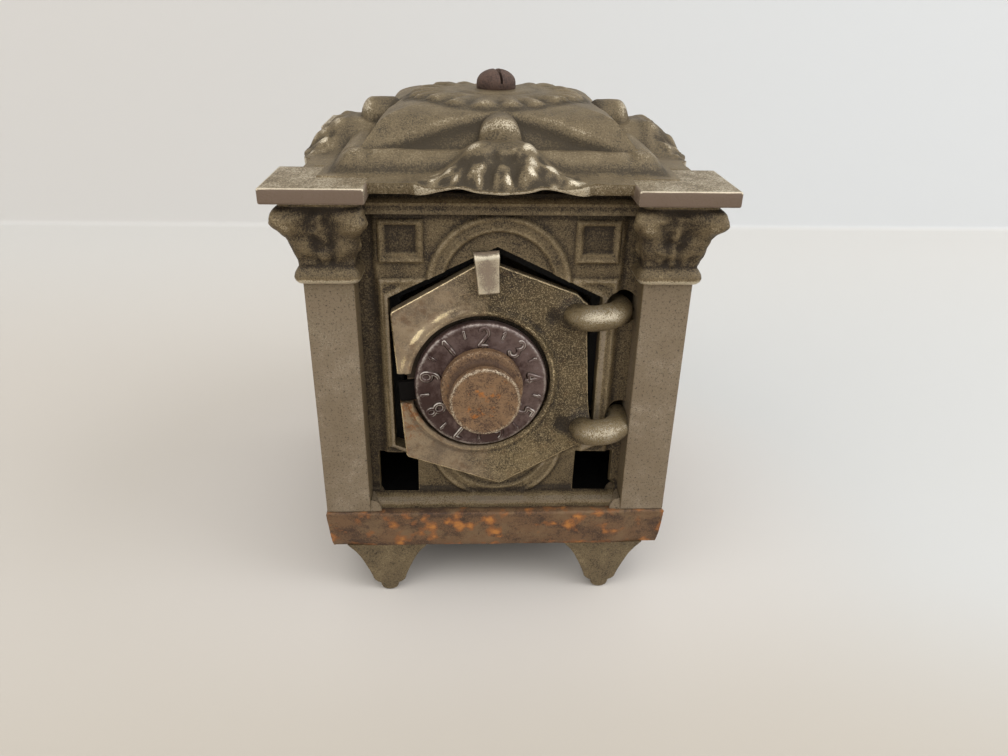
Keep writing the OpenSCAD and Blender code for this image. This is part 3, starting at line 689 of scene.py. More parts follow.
def palmette(s, q):
    """Height of the shell-like ornament at s across and q out from the middle, and how bright it is: painted
    glints on its lumps and painted shade in its hollows.
    """
    a = np.abs(s)
    crest = np.interp(q, [22, 27, 30.5, 33.4, 36, 38, 39.4, 40.6, 41.5, 42.6],
                      [104.2, 105.2, 105.9, 105.9, 105.1, 103.9, 102.7, 101.3, 100.1, 98.6])
    spread = np.clip(1.09 / (1 + (a / 9.3) ** 4) - 0.085, 0, 1)
    height = 99.1 + (crest - 99.1) * spread
    out = smooth_step(33.5, 37.5, q)
    fan = np.arctan2(a, np.maximum(q - 31.5, 0.5))
    height = height + out * spread * 0.30 * np.cos(fan * 11.5)
    lumps = hill(a - 5.4, q - 35.2, 1.9, 2.2, 1.0) + hill(a - 9.8, q - 38.2, 1.2, 1.5, 0.8)
    lumps = lumps + hill(a - 4.4, q - 40.4, 0.8, 1.3, 0.8) + hill(s - 0.8, q - 41.5, 1.2, 0.8, 0.8)
    lumps = lumps + hill(a - 13.2, q - 39.8, 1.2, 1.0, 0.7) + hill(s + 8.0, q - 40.6, 0.8, 1.0, 0.7)
    hollows = hill(s, q - 37.6, 3.0, 3.0, 0.5) + hill(a - 7.6, q - 36.2, 1.4, 1.2, 0.4)
    hollows = hollows + hill(a - 7.3, q - 40.6, 0.9, 1.6, 0.6) + hill(a - 2.4, q - 40.4, 0.7, 1.4, 0.55)
    hollows = hollows + hill(a - 11.7, q - 40.6, 1.0, 1.2, 0.5)
    place = np.stack([s, q, height * 0], -1)
    knobbly = unevenness(place, 1.9, 71) * 0.5 + unevenness(place, 1.1, 72) * 0.35
    height = height + out * spread ** 0.5 * 0.65 * knobbly
    # Painted glints on the lumps and painted shade in the hollows between them
    shiny = (0.80 * lumps - 0.9 * hollows + 1.5 * np.clip(knobbly, -0.6, 0.7) * out
             - 0.34 * out * spread ** 0.5)
    return height + lumps - hollows, np.where(q > 33.5, shiny, 0) * smooth_step(34, 36, q)


def eave_edge(s):
    """How far out the eave reaches at s across."""
    a = np.abs(s)
    reach = 39.55 + 2.9 * np.sqrt(np.clip(1 - (a / 17.8) ** 2, 0, 1)) ** 1.1
    return reach + 0.22 * np.cos(a * 1.25) * smooth_step(18, 14, a)


def eave_under(s):
    """Height of the eave's underside at s across."""
    a = np.abs(s)
    return 97.25 + 1.55 * np.exp(-(((a - 8.0) / 4.6) ** 2)) + 0.55 * np.exp(-((a / 3.5) ** 2))


def roof_side(turn):
    """Points of one quarter of the roof, from the middle to the underside of the eave."""
    across = np.linspace(-1, 1, 176, endpoint=False)
    inner = np.concatenate([np.linspace(0.2, 20.2, 34), np.linspace(20.5, 34, 40)])
    edge = eave_edge(across * 40.5)
    outer = 34 + (edge[None] - 34) * np.linspace(0.045, 1, 24)[:, None]
    w = np.concatenate([np.repeat(inner[:, None], len(across), 1), outer])
    a = np.repeat(across[None], len(w), 0)
    x, y = a * w, -w
    s, q = x, w
    rounded = w * ((1 + np.abs(a) ** 14) ** (1 / 14)) * 0.985
    block = roof_profile(np.where(w > 27.5, np.maximum(rounded, 27.5), w))
    crease = q - 21.1 - 5.9 * (np.abs(s) / 23.5)
    sunk = smooth_step(-0.1, 1.1, crease) * smooth_step(28.2, 26.6, q) * (np.abs(s) < 30)
    block = block - 1.5 * sunk
    ear = hill(np.abs(s) - 29.6, q - 29.7, 2.6, 2.2, 0.55) - hill(np.abs(s) - 26.0, q - 30.2, 0.9, 2.2, 0.6)
    block = block + ear
    mound, shiny = palmette(s, q)
    z = np.where(q > 21.5, soft_max(block, mound, 0.7), block)
    reach = np.maximum(np.abs(q - 25.6) - 2.2, 0)
    knob = 105.4 + dome(s, reach, 4.2, 2.7, 4.5)
    z = np.where((s / 4.2) ** 2 + (reach / 2.7) ** 2 < 1, soft_max(z, knob, 0.5), z)
    flower, petals = rosette(x, y)
    z = z + flower * (w < 24)
    z = z + 0.10 * unevenness(np.stack([x, y, z], -1), 2.6, 5 + turn) * smooth_step(6, 9, w)
    z = z + 0.16 * unevenness(np.stack([x, y, z], -1), 7.0, 9 + turn) * smooth_step(6, 9, w)
    # Painted glints on the ornaments, stronger on the front one as a painted reflection; painted highlights
    # on raised parts and painted shade in hollows, besides rubbing and dirt
    worn_and_painted_light = (np.where(mound > block - 0.2, np.clip(shiny, -0.9, 1.2) * (1 if turn == 0 else 0.5), 0)
            + 1.0 * np.clip(proud(z, 2), -0.3, 0.3) - 0.04)
    worn_and_painted_light = worn_and_painted_light + petals * (w < 22.5) + 0.12 * (np.abs(np.abs(a) - 0.985) < 0.03) * (w > 20) * (w < 28)
    # Painted highlight on the front boss; painted shade in the sunk band, darkest just under the crease
    worn_and_painted_light = (worn_and_painted_light + 0.25 * hill(s, q - 26.8, 2.0, 1.6, 1.0) - 0.26 * sunk
            - 0.42 * sunk * np.exp(-(((crease - 0.9) / 1.3) ** 2)))
    # Painted shade at the cove's foot; lighter on the band and on the eave beside the ornament
    worn_and_painted_light = worn_and_painted_light - 0.3 * hill(w - 33.0, 0 * w, 1.2, 1, 1)
    worn_and_painted_light = worn_and_painted_light + 0.15 * hill(w - 29.5, 0 * w, 1.2, 1, 1) + 0.14 * (w > 33.5) * (w < 41) * (np.abs(s) > 19)
    under = eave_under(across * 40)
    corner = (np.abs(x) > 25.4) & (w > 35.2) & (np.abs(s) < q + 1)
    z = np.where(corner, 99.3, z)
    fall = np.maximum(z[-1] - under - 0.75, 0) * smooth_step(16.5, 10, np.abs(across * 40.5))
    z = z - fall * smooth_step(edge - 2.4, edge, w) ** 1.4
    top = z[-1]
    lip = [(edge + 0.05, top - 0.35), (edge + 0.02, under + 0.5), (edge - 0.2, under + 0.08),
           (edge - 0.6, under), (edge * 0 + 34, under + 0.5)]
    rows_w = np.concatenate([w, [np.maximum(e, 20) for e, _ in lip]])
    rows_z = np.concatenate([z, [np.minimum(h, top - 0.02) for _, h in lip]])
    rows_a = np.concatenate([a, np.repeat(across[None], len(lip), 0)])
    worn_and_painted_light = np.concatenate([worn_and_painted_light, np.full((len(lip), len(across)), 0.25) + 0.35 * (np.abs(across) < 0.4)])
    pts = np.stack([rows_a * rows_w, -rows_w, rows_z], -1)
    return round_corner(turn, pts), worn_and_painted_light


class BANK_OT_roof(bpy.types.Operator):
    """Builds the roof casting with its rosette, side ornaments and corner pads"""

    bl_idname = "coin_bank.roof"
    bl_label = "Roof"

    def execute(self, context):
        sizes = context.scene.coin_bank_sizes
        shell = Shell()
        quarters = [roof_side(turn) for turn in range(4)]
        points = np.concatenate([p for p, _ in quarters], 1)
        worn_and_painted_light = np.concatenate([w for _, w in quarters], 1)
        shell.grid(points, wrap=True, flip=True, wear_and_painted_light=worn_and_painted_light)
        out = (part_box("roof")[1] / MM)[0] - 0.02
        size, thick = sizes.pad_size / MM, sizes.pad_thick / MM
        top = PAD_TOP
        pads = Shell()
        for sx in (-1, 1):
            for sy in (-1, 1):
                x0, x1 = sorted((sx * (out - size), sx * out))
                y0, y1 = sorted((sy * (out - size), sy * out))
                pads.block((x0, y0, top - thick), (x1, y1, top), 0.5, 4)
        p = np.concatenate(pads.points)
        side = np.maximum(np.abs(p[:, 0]), np.abs(p[:, 1])) > out - 0.02
        edge = (p[:, 2] > top - 0.45) & (np.maximum(np.abs(p[:, 0]), np.abs(p[:, 1])) > out - 0.5)
        # Painted highlights on the pads' top edges
        pads.wear_and_painted_light = [np.where(edge & ~side, 0.7, np.where(side, 0.1, 0.36))]
        squares = pads.finish("corner_pads", finish("pad"), "safe_body", sharp=50).data
        squares.materials.append(finish("roof"))
        for face in squares.polygons:
            face.material_index = int(face.normal.z > 0.9)
        # Painted shade: the screw's bore, the roof's underside and the ribs under the eave are dark, the
        # underside nearly black
        angle = np.linspace(0, 2 * np.pi, 40, endpoint=False)
        bore = np.array([[[r * math.cos(t), r * math.sin(t), z] for t in angle]
                         for r, z in ((5.2, 97.5), (5.2, 111), (2.4, 112))])
        shell.grid(bore, wrap=True, flip=True, wear_and_painted_light=-0.5)
        around = np.linspace(-1, 1, 24, endpoint=False)
        under = []
        for w, z in ((34.4, 97.5), (25.5, 97.5), (25.5, 101.0), (22.5, 103.2), (14.5, 107.6), (9.0, 109.0),
                     (5.3, 109.0)):
            quarter = np.stack([around * w, np.full(24, -w), np.full(24, z)], -1)
            under.append(np.concatenate([round_corner(turn, quarter) for turn in range(4)]))
        shell.grid(np.array(under), wrap=True, flip=True, wear_and_painted_light=-1.6)
        for turn in range(4):
            rib = Shell()
            rib.block((-18, -30.75, 94.2), (18, -28.95, 97.6), 0.2, 1)
            shell.add(round_corner(turn, rib.points[0]), rib.faces, -0.9)
        shell.finish("roof_casting", finish("roof"), "safe_body", ["roof"], sharp=38)
        return {"FINISHED"}


class BANK_OT_roof_screw(bpy.types.Operator):
    """Builds the long roof screw with its slotted head"""

    bl_idname = "coin_bank.roof_screw"
    bl_label = "Roof screw"

    def execute(self, context):
        sizes = context.scene.coin_bank_sizes
        low, high = (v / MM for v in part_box("roof_screw"))
        r, top, seat = sizes.screw_head / MM / 2, high[2], high[2] - 4.2
        turn = np.radians(np.arange(4, 89, 7))
        rod = sizes.screw_rod / MM / 2
        profile = [(0.01, low[2]), (rod - 0.3, low[2]), (rod, low[2] + 0.3), (rod, seat), (r - 0.1, seat),
                   (r, seat + 0.15), (r, seat + 1.2)]
        profile += [(r * math.cos(t) * 0.995, seat + 1.3 + 2.88 * math.sin(t)) for t in turn] + [(0.01, top)]
        shell = Shell()
        wear_and_painted_light = [-0.3] * 7 + [0.1] * len(turn) + [0.0]
        shell.turned(profile, 72, wear_and_painted_light, place=lambda p: np.stack([p[..., 0], p[..., 2], -p[..., 1]], -1))
        screw = shell.finish("roof_screw_head_and_rod", finish("screw"), "safe_body", ["roof_screw"],
                             slot="rust")
        notch = [[-0.26, seat + 1.3], [0.26, seat + 1.3], [0.32, top - 0.75], [0.95, top + 0.6],
                 [-0.95, top + 0.6], [-0.32, top - 0.75]]
        groove, sides = prism(notch, -6, 6)
        groove[:, 0] -= 0.27 * groove[:, 1]
        # The slot's cut faces are black, as painted shade
        cut(screw, [(groove, sides)])
        return {"FINISHED"}


# Walls, posts and capitals


def ring(distance, inner, outer, edge=0.28):
    """1 between two distances from an outline, with soft sides."""
    return (smooth_step(inner - edge, inner + edge, distance)
            * smooth_step(outer + edge, outer - edge, distance))


def stadium_distance(s, z):
    """Distance from the upright middle line of the arched panel."""
    return np.hypot(s, np.maximum(np.maximum(z - ARCH_HIGH, ARCH_LOW - z), 0))


def wall_relief(s, z):
    """How far the mouldings of all four walls stand out from the wall's plane, and how bright they are, with
    painted shade in the sunk squares, in the crease above the foot and under the roof's eave.
    """
    stadium = stadium_distance(s, z)
    out = (0.62 * ring(stadium, 11.5, 15.0, 0.35) + 0.26 * ring(stadium, 13.9, 14.8, 0.2)
           + 0.2 * ring(stadium, 11.6, 12.3, 0.2))
    out = out + 0.16 * ring(stadium, 12.8, 13.2, 0.18)
    out = out - 0.6 * smooth_step(11.5, 10.7, stadium)
    worn_and_painted_light = 0.12 * ring(stadium, 13.7, 14.9) + 0.08 * ring(stadium, 11.6, 12.5)
    ds = np.maximum(np.abs(np.abs(s) - 20.0) - 4.5, np.abs(z - 86.6) - 4.4)
    inner = np.maximum(np.abs(np.abs(s) - 20.0) - 3.0, np.abs(z - 87.1) - 2.8)
    frame_part = smooth_step(0.25, -0.25, ds)
    out = (np.maximum(out, 0.45 * frame_part + 0.3 * ring(ds, -0.9, -0.1, 0.3))
           - 0.62 * smooth_step(0.35, -0.35, inner))
    # Painted shade in the sunk squares
    worn_and_painted_light = worn_and_painted_light - 0.28 * smooth_step(0.2, -0.4, inner)
    foot = 3.45 * smooth_step(26.35, 25.6, z) + 0.35 * ring(z, 26.3, 27.0)
    frieze = 2.3 * ring(z, 92.3, 95.5, 0.35) + 0.7 * smooth_step(95.3, 96.4, z)
    frieze = frieze + 0.28 * ring(z, 94.5, 95.1, 0.14) + 0.22 * ring(z, 92.5, 93.0, 0.14)
    out = np.maximum(np.maximum(out, foot), frieze)
    # Lighter on the foot moulding; painted shade on the frieze and the wall's top under the eave, and in the
    # crease above the foot
    worn_and_painted_light = worn_and_painted_light + 0.3 * ring(z, 24.5, 26.1) - 0.22 * ring(z, 92.6, 95.2) - 0.3 * smooth_step(95.6, 96.2, z)
    return out, worn_and_painted_light - 0.25 * smooth_step(26.0, 26.7, z) * smooth_step(28.2, 27.2, z)


def panel_points(height_of, step, reach=30.5, back=31.0):
    """A wall panel: one row of points for each height, round the front and the flat back."""
    s = np.linspace(-reach, reach, int(2 * reach / step))
    z = np.linspace(WALL_LOW, WALL_HIGH, int((WALL_HIGH - WALL_LOW) / step))
    ss, zz = np.meshgrid(s, z)
    out, worn_and_painted_light = height_of(ss, zz)
    # Painted highlights on raised edges and painted shade in hollows, from how far each point stands above
    # its neighbours
    worn_and_painted_light = worn_and_painted_light + 1.25 * np.clip(proud(out, 2), -0.28, 0.28) - 0.08
    p = np.stack([ss, -(WALL_FACE + out), zz], -1)
    p[..., 1] -= 0.07 * unevenness(p, 1.1, 21) + 0.10 * unevenness(p, 4.0, 22)
    ends = [np.stack([np.full(len(z), x), np.full(len(z), -back), z], -1)[:, None] for x in (reach, -reach)]
    p = np.concatenate([p, *ends], 1)
    worn_and_painted_light = np.concatenate([worn_and_painted_light, np.zeros((len(z), 2))], 1)
    return p, worn_and_painted_light


def front_relief(s, z):
    """The front wall's relief: the shared mouldings, the door opening's bead and the flat land beside it,
    with painted highlights on the bead, the land's edge and the strip, painted shade beside the bead and in
    the side channels, and a painted pool of light in the middle.
    """
    out, worn_and_painted_light = wall_relief(s, z)
    d = six_distance(s - OPENING_X, z - OPENING_Z, *OPENING)
    stadium = stadium_distance(s, z)
    border = np.maximum(np.abs(s) - 24.7, np.maximum(z - 78.6, 38.4 - z))
    land = smooth_step(0.25, -0.25, border) * smooth_step(15.0, 15.6, stadium)
    edge = ring(border, -0.75, 0.1, 0.2) * smooth_step(15.0, 15.6, stadium)
    upright = smooth_step(19.0, 20.5, np.abs(s - OPENING_X))
    out = np.maximum(out * (1 - upright * smooth_step(1.5, 0.9, d)), 0.42 * land + 0.2 * edge * (d > 1.2))
    bead = ring(d, -0.8, 0.95, 0.2) * upright
    hinge_side = smooth_step(0, 5, s)
    out = np.maximum(out, (0.75 - 0.3 * hinge_side) * bead)
    # Painted highlights on the bead, the land's edge and the opening's edge; painted shade beside the bead
    worn_and_painted_light = (worn_and_painted_light + 0.30 * bead - 0.25 * ring(d, 1.2, 2.4) * upright + 0.1 * land + 0.2 * edge
            + 0.25 * ring(d, -0.3, 0.35, 0.2))
    strip = ring(s, 22.3, 24.6, 0.12) * ring(z, 40, 74.5, 0.5)
    out = np.maximum(out, 0.45 * strip)
    # Painted highlight on the strip's inner edge, standing in for the lit side of the opening
    worn_and_painted_light = worn_and_painted_light + 0.1 * strip + 0.55 * ring(s, 22.5, 22.9, 0.15) * ring(z, 40, 74.5, 0.5)
    channel = smooth_step(24.9, 26.0, np.abs(s)) * (z > 27) * (z < 92)
    out = out - 0.6 * channel * smooth_step(0.5, 1.5, d)
    # Painted shade in the side channels, stronger on the left side
    worn_and_painted_light = worn_and_painted_light - 0.22 * channel * np.where(s < 0, 1.25, 0.5)
    # Painted pool of light in the middle of the wall
    lamp = hill(s, z - 51, 14, 22, 0.25)
    return out, worn_and_painted_light - 0.05 + lamp * 0.3


def post_block(shell, sx, sy):
    """One corner post with its spreading foot."""
    x0, x1 = sorted((sx * 28.95, sx * 38.98))
    y0, y1 = sorted((sy * 30.2, sy * 38.98))
    shell.block((x0, y0, 23.7), (x1, y1, 80.2), 0.35, 3, wear_and_painted_light=0.22)
    # Painted shade on the posts' inner faces, against the wall
    shell.wear_and_painted_light[-1] -= 0.95 * (np.abs(shell.points[-1][:, 0]) < 29.1)
    a = np.linspace(0, 1, 9)
    toe = 28.75 - 2.2 * np.sqrt(1 - a ** 2)
    z = 23.72 + 2.6 * a
    rows = [[[sx * t, sy * 31.0, h], [sx * t, sy * (38.6 - 0.5 * u), h],
             [sx * 29.4, sy * (38.8 - 0.5 * u), h], [sx * 29.4, sy * 31.0, h]] for t, h, u in zip(toe, z, a)]
    shell.grid(np.array(rows), wrap=True, flip=(sx * sy > 0), wear_and_painted_light=-0.12)


def corner_posts(side, sy):
    """The two posts of the front or the back."""
    shell = Shell()
    for sx in (-1, 1):
        post_block(shell, sx, sy)
    return shell.finish(side + "_posts", finish("post"), "safe_body", sharp=45)


def capital_points(turn, seed):
    """A leafy capital on a square plan, for one corner; turn is the quarter it stands in."""
    z = np.array([79.3, 79.45, 79.7, 80.2, 80.9, 81.6, 82.2, 82.6, 82.9, 83.3]
                 + list(np.linspace(83.7, 95.1, 38)) + [95.3, 95.5, 96.0, 96.36])
    at = [79.3, 79.5, 79.9, 80.9, 81.9, 82.5, 82.9, 84.4, 86.0, 88.0, 89.2, 90.2, 91.3, 92.3, 93.3, 94.4,
          95.0, 95.3, 95.6, 96.4]
    face = [5.1, 5.7, 6.35, 6.6, 6.35, 5.7, 5.2, 5.3, 5.7, 6.0, 6.0, 5.9, 5.9, 6.1, 6.4, 6.6, 6.7, 7.4, 7.7,
            7.7]
    corner = [5.1, 5.7, 6.35, 6.6, 6.35, 5.8, 5.6, 5.75, 6.3, 6.9, 7.2, 7.9, 8.75, 9.2, 9.3, 8.9, 8.3, 7.6,
              7.7, 7.7]
    t = np.linspace(0, 2 * np.pi, 112, endpoint=False) + np.pi / 4
    c, s = np.cos(t), np.sin(t)
    plan = 1 / (np.abs(c) ** 9 + np.abs(s) ** 9) ** (1 / 9)
    near = np.abs(np.sin(2 * t))[None] ** 3.2
    zz = np.repeat(z[:, None], len(t), 1)
    half = np.interp(zz, at, face) * (1 - near) + np.interp(zz, at, corner) * near
    along = np.where(np.abs(c) > np.abs(s), s / np.abs(c), c / np.abs(s))[None]
    leaf = (hill(np.abs(along) - 0.50, (zz - 86.6) / 10, 0.22, 0.16, 0.75)
            + hill(along, (zz - 85.2) / 10, 0.24, 0.13, 0.7))
    leaf = (leaf + hill(along, (zz - 90.4) / 10, 0.20, 0.17, 0.8)
            + hill(np.abs(along) - 0.42, (zz - 93.4) / 10, 0.15, 0.10, 0.5))
    dark = (hill(np.abs(along) - 0.28, (zz - 88.2) / 10, 0.14, 0.16, 0.6)
            + hill(along - 0.1, (zz - 88.0) / 10, 0.16, 0.10, 0.3))
    ball = hill(np.abs(along) - 0.64, (zz - 91.6) / 10, 0.20, 0.19, 0.55)
    dark = (dark + hill(np.abs(along) - 0.25, (zz - 83.7) / 10, 0.1, 0.08, 0.4)
            + hill(along, (zz - 94.3) / 10, 0.5, 0.07, 0.5))
    flute = 0.16 * np.cos(along * 15) * smooth_step(83, 84.5, zz) * smooth_step(90, 86, zz)
    place = np.stack(np.broadcast_arrays(c * plan * 6, -s * plan * 6, zz), -1)
    lumps = 0.50 * unevenness(place, 1.7, seed + 5) + 0.30 * unevenness(place, 0.95, seed + 6)
    lumps = lumps * smooth_step(83.2, 84.2, zz) * smooth_step(95.0, 94.2, zz) * (1 - 0.6 * near)
    half = half + (0.8 * leaf - 0.75 * dark + ball + 0.5 * flute + lumps) * (zz > 82.9) * (zz < 95.2)
    centre = np.interp(z, [79, 88, 92.5, 96.4], [33.95, 34.1, 34.5, 34.3])[:, None]
    x = centre + half * c * plan
    y = centre + half * s * plan
    p = np.stack([x, -y, zz], -1)
    p += (0.16 * unevenness(p, 1.7, seed)[..., None] * np.stack([c * plan, -s * plan, 0 * c], -1)[None]
          * (zz[..., None] > 82.9))
    deep = np.maximum(p[..., 0], -p[..., 1])
    inside = deep < 31.3
    wider = p[..., 0] > -p[..., 1]
    p[..., 0] = np.where(inside & wider, 31.3, p[..., 0])
    p[..., 1] = np.where(inside & ~wider, -31.3, p[..., 1])
    limit = 43.9
    p[..., 0] = np.minimum(p[..., 0], limit)
    p[..., 1] = np.maximum(p[..., 1], -limit)
    # Painted highlights on the balls, the corners' upper leaves and the neck ring's lower half; painted shade
    # under the top band and in the crease above the neck, besides dirt in the hollows
    worn_and_painted_light = (0.08 * leaf - 0.5 * dark + 0.35 * ball + 0.10 * near ** 2 * ring(zz, 90.3, 94.3)
            - 0.30 * ring(zz, 83, 95))
    worn_and_painted_light = worn_and_painted_light + 0.75 * ring(zz, 79.5, 80.7, 0.15) - 0.12 * ring(zz, 81.0, 82.6, 0.2)
    worn_and_painted_light = worn_and_painted_light + 1.15 * np.clip(proud(half, 2, True), -0.35, 0.35) * ring(zz, 83, 95)
    worn_and_painted_light = worn_and_painted_light - 0.5 * ring(zz, 94.8, 95.4, 0.2) - 0.35 * ring(zz, 82.6, 83.3, 0.2)
    return round_corner(turn, p), worn_and_painted_light


def capitals(side, turns):
    """The two capitals of the front or the back."""
    shell = Shell()
    for turn in turns:
        points, worn_and_painted_light = capital_points(turn, 31 + turn)
        shell.grid(points, wrap=True, flip=True, wear_and_painted_light=worn_and_painted_light, ends=True)
    return shell.finish(side + "_capitals", finish("leaf"), "safe_body", sharp=60)


def hook_room(w):
    """The ring of space in which the hinge hook at height w swings, as points and faces."""
    room, long, short = HOOK_RADIUS + 0.3, 72, 24
    turn, around = (np.linspace(0, 2 * np.pi, n, endpoint=False) for n in (long, short))
    turn, around = np.meshgrid(turn, around, indexing="ij")
    reach = HOOK_BEND + room * np.cos(around)
    points = [AXIS_U + reach * np.cos(turn), AXIS_D + reach * np.sin(turn), w + room * np.sin(around)]
    i, j = np.meshgrid(np.arange(long), np.arange(short), indexing="ij")
    ahead, beside = (i + 1) % long * short, (j + 1) % short
    faces = np.stack([i * short + j, ahead + j, ahead + beside, i * short + beside], -1)
    return hung(np.stack(points, -1).reshape(-1, 3)), faces.reshape(-1, 4)


class BANK_OT_front_wall(bpy.types.Operator):
    """Builds the front wall with its mouldings, door opening, windows, posts and capitals"""

    bl_idname = "coin_bank.front_wall"
    bl_label = "Front wall"

    def execute(self, context):
        shell = Shell()
        points, worn_and_painted_light = panel_points(front_relief, 0.36)
        shell.grid(points, wrap=True, wear_and_painted_light=worn_and_painted_light, ends=True)
        wall = shell.finish("front_panel", finish("wall"), "safe_body", ["front_wall"], sharp=45)
        opening = six_sided(0)
        opening[1] = [21.75, 40.6]
        opening[2][0] = 21.75
        opening[0][1] = 30.2
        # The opening's cut faces are darkened, as painted shade
        cut(wall, [prism(opening, -40, -20)], -0.42)
        cutters = [prism([[-27.2, 28.0], [-18.1, 27.9], [-18.0, 36.7], [-27.0, 36.9]], -36.4, -28, 6.4)]
        notch = [[18.05, 28.0], [27.6, 27.8], [28.1, 28.3], [28.1, 30.0], [27.6, 30.5], [27.1, 30.9],
                 [27.0, 36.6], [18.2, 36.9]]
        cutters.append(prism(notch, -36.4, -28, 6.4))
        # The windows' insides are black, as painted shade
        cut(wall, cutters)
        # The hook slots' cut faces are black, as painted shade
        for w in HOOK_HEIGHTS:
            c = hung([AXIS_U + HOOK_BEND, AXIS_D, w])
            turn = np.linspace(0, np.pi, 17)
            top = [[c[0] + 3.5 * math.cos(a), c[2] + 1.5 + 3.5 * math.sin(a)] for a in turn]
            low = [[c[0] - 3.5 * math.cos(a), c[2] - 3.2 * math.sin(a)] for a in turn]
            cut(wall, [prism(top + low, -42, -20)])
            cut(wall, [hook_room(w)])
        soften(wall)
        ledge = Shell()
        outer, inner = six_sided(1.7), six_sided(-2.2)
        loop = [(outer, -30.5), (outer, -29.05), (inner, -29.05), (inner, -30.4),
                (inner + (outer - inner) * 0.08, -30.5)]
        rows = np.array([[[x, y, z] for x, z in outline] for outline, y in loop + loop[:1]])
        sides = [(k, f) for k in range(6) for f in np.linspace(0, 1, 12)[:-1]]
        rows = np.concatenate([rows[:, [k]] * (1 - f) + rows[:, [(k + 1) % 6]] * f for k, f in sides], 1)
        # Painted shade: the ledge behind the door is nearly black
        ledge.grid(rows, wrap=True, flip=True, wear_and_painted_light=-1.8)
        ledge = ledge.finish("door_ledge", finish("wall"), "safe_body", sharp=50)
        posts = corner_posts("front", -1)
        # The cut faces round the hooks are black, as painted shade
        for w in HOOK_HEIGHTS:
            cut(ledge, [hook_room(w)])
            cut(posts, [hook_room(w)])
        soften(ledge)
        soften(posts)
        capitals("front", (0, 3))
        return {"FINISHED"}


class BANK_OT_other_walls(bpy.types.Operator):
    """Builds the back and side walls, the back one with the coin slot"""

    bl_idname = "coin_bank.other_walls"
    bl_label = "Back and side walls"

    def execute(self, context):
        for turn, name in ((1, "right"), (2, "back"), (3, "left")):
            shell = Shell()
            points, worn_and_painted_light = panel_points(wall_relief, 0.5)
            shell.grid(round_corner(turn, points), wrap=True, wear_and_painted_light=worn_and_painted_light, ends=True)
            wall = shell.finish(name + "_panel", finish("wall"), "safe_body", [name + "_wall"], sharp=45)
            if name == "back":
                a = np.linspace(-np.pi / 2, np.pi / 2, 9)
                right = [[10.1 + 2.4 * math.cos(t), 80.8 + 2.4 * math.sin(t)] for t in a]
                left = [[-10.1 - 2.4 * math.cos(t), 80.8 - 2.4 * math.sin(t)] for t in a]
                # The coin slot's cut faces are black, as painted shade
                cut(wall, [prism(right + left, 20, 45)])
                soften(wall)
        corner_posts("back", 1)
        capitals("back", (1, 2))
        return {"FINISHED"}


class BANK_OT_base(bpy.types.Operator):
    """Builds the rusty base slab and the plate with four bracket feet"""

    bl_idname = "coin_bank.base"
    bl_label = "Base slab and feet"

    def execute(self, context):
        low, high = (np.array(v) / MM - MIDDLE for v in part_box("base_slab"))
        rows, worn_and_painted_light = [], []
        profile = [(-1.3, 0.05), (-0.75, 0.0), (-0.25, 0.3), (-0.05, 1.2), (0.2, 3.0), (0.46, 6.0),
                   (0.62, 8.6), (0.64, 9.2), (0.70, 9.4), (0.68, 9.8), (0.4, 10.05), (0.1, 10.1),
                   (-5.2, 10.1), (-5.6, 10.1)]
        t = np.linspace(0, 2 * np.pi, 720, endpoint=False)
        c, s = np.cos(t), np.sin(t)
        plan = (1 / np.maximum(np.abs(c), np.abs(s))
                * (1 - 0.012 * smooth_step(0.93, 1.0, np.abs(np.sin(2 * t)))))
        for grow, up in profile:
            half = high[0] - 0.06 + grow
            x, y = half * c * plan, half * s * plan
            p = np.stack([x, y, np.full(len(t), low[2] + up)], -1)
            dent = 0.12 * unevenness(p, 5.0, 41) + 0.07 * unevenness(p, 1.3, 42)
            push = np.stack([np.where(np.abs(c) >= np.abs(s), np.sign(c), 0),
                             np.where(np.abs(s) > np.abs(c), np.sign(s), 0), 0 * c], -1)
            rows.append(p + (dent - 0.13)[:, None] * push)
            # Black painted shade on the slab's top under the walls
            worn_and_painted_light.append(np.full(len(t), 0.45 if 9.3 < up < 9.8 else -2.0 if grow < -3 else 0.0))
        shell = Shell()
        shell.grid(np.array(rows), wrap=True, wear_and_painted_light=np.array(worn_and_painted_light), ends=True)
        shell.finish("base_slab_casting", finish("slab"), "safe_body", ["base_slab"], slot="slab", sharp=50)

        feet = Shell()
        # The plate under the slab is darkened, as painted shade
        feet.block((-35.8, -35.8, 12.1), (35.8, 35.8, 13.55), 0.2, 1, wear_and_painted_light=-0.4)
        half = np.array([[9.5, 0.2], [8.9, -0.5], [7.7, -1.8], [6.7, -3.4], [5.75, -5.3], [5.05, -6.9],
                         [4.5, -8.2], [4.05, -9.4], [3.9, -10.0], [3.65, -10.6], [2.95, -11.2],
                         [2.35, -11.45], [2.1, -11.8], [2.05, -12.3], [1.7, -12.95], [0.95, -13.4],
                         [0.0, -13.53]])
        foot_x, foot_top = 25.7, 13.57
        for sx, sy in ((-1, -1), (-1, 1), (1, -1), (1, 1)):
            rows = []
            for shrink, y in ((0.35, 38.62), (0.12, 38.5), (0.0, 38.2), (0.0, 36.1), (0.1, 35.8),
                              (0.3, 35.75)):
                outline = [[v - math.copysign(shrink, v) * (v != 0), u + shrink * (u < -2)] for v, u in half]
                outline += [[-v, u] for v, u in outline[::-1][1:]]
                rows.append([[sx * foot_x + a, sy * y, foot_top + b] for a, b in outline])
            feet.grid(np.array(rows), wrap=True, flip=sy > 0, wear_and_painted_light=0.05, ends=True)
        feet.finish("bracket_feet", finish("feet"), "safe_body", ["foot_plate"], sharp=40)
        return {"FINISHED"}


# Door, dial and knob


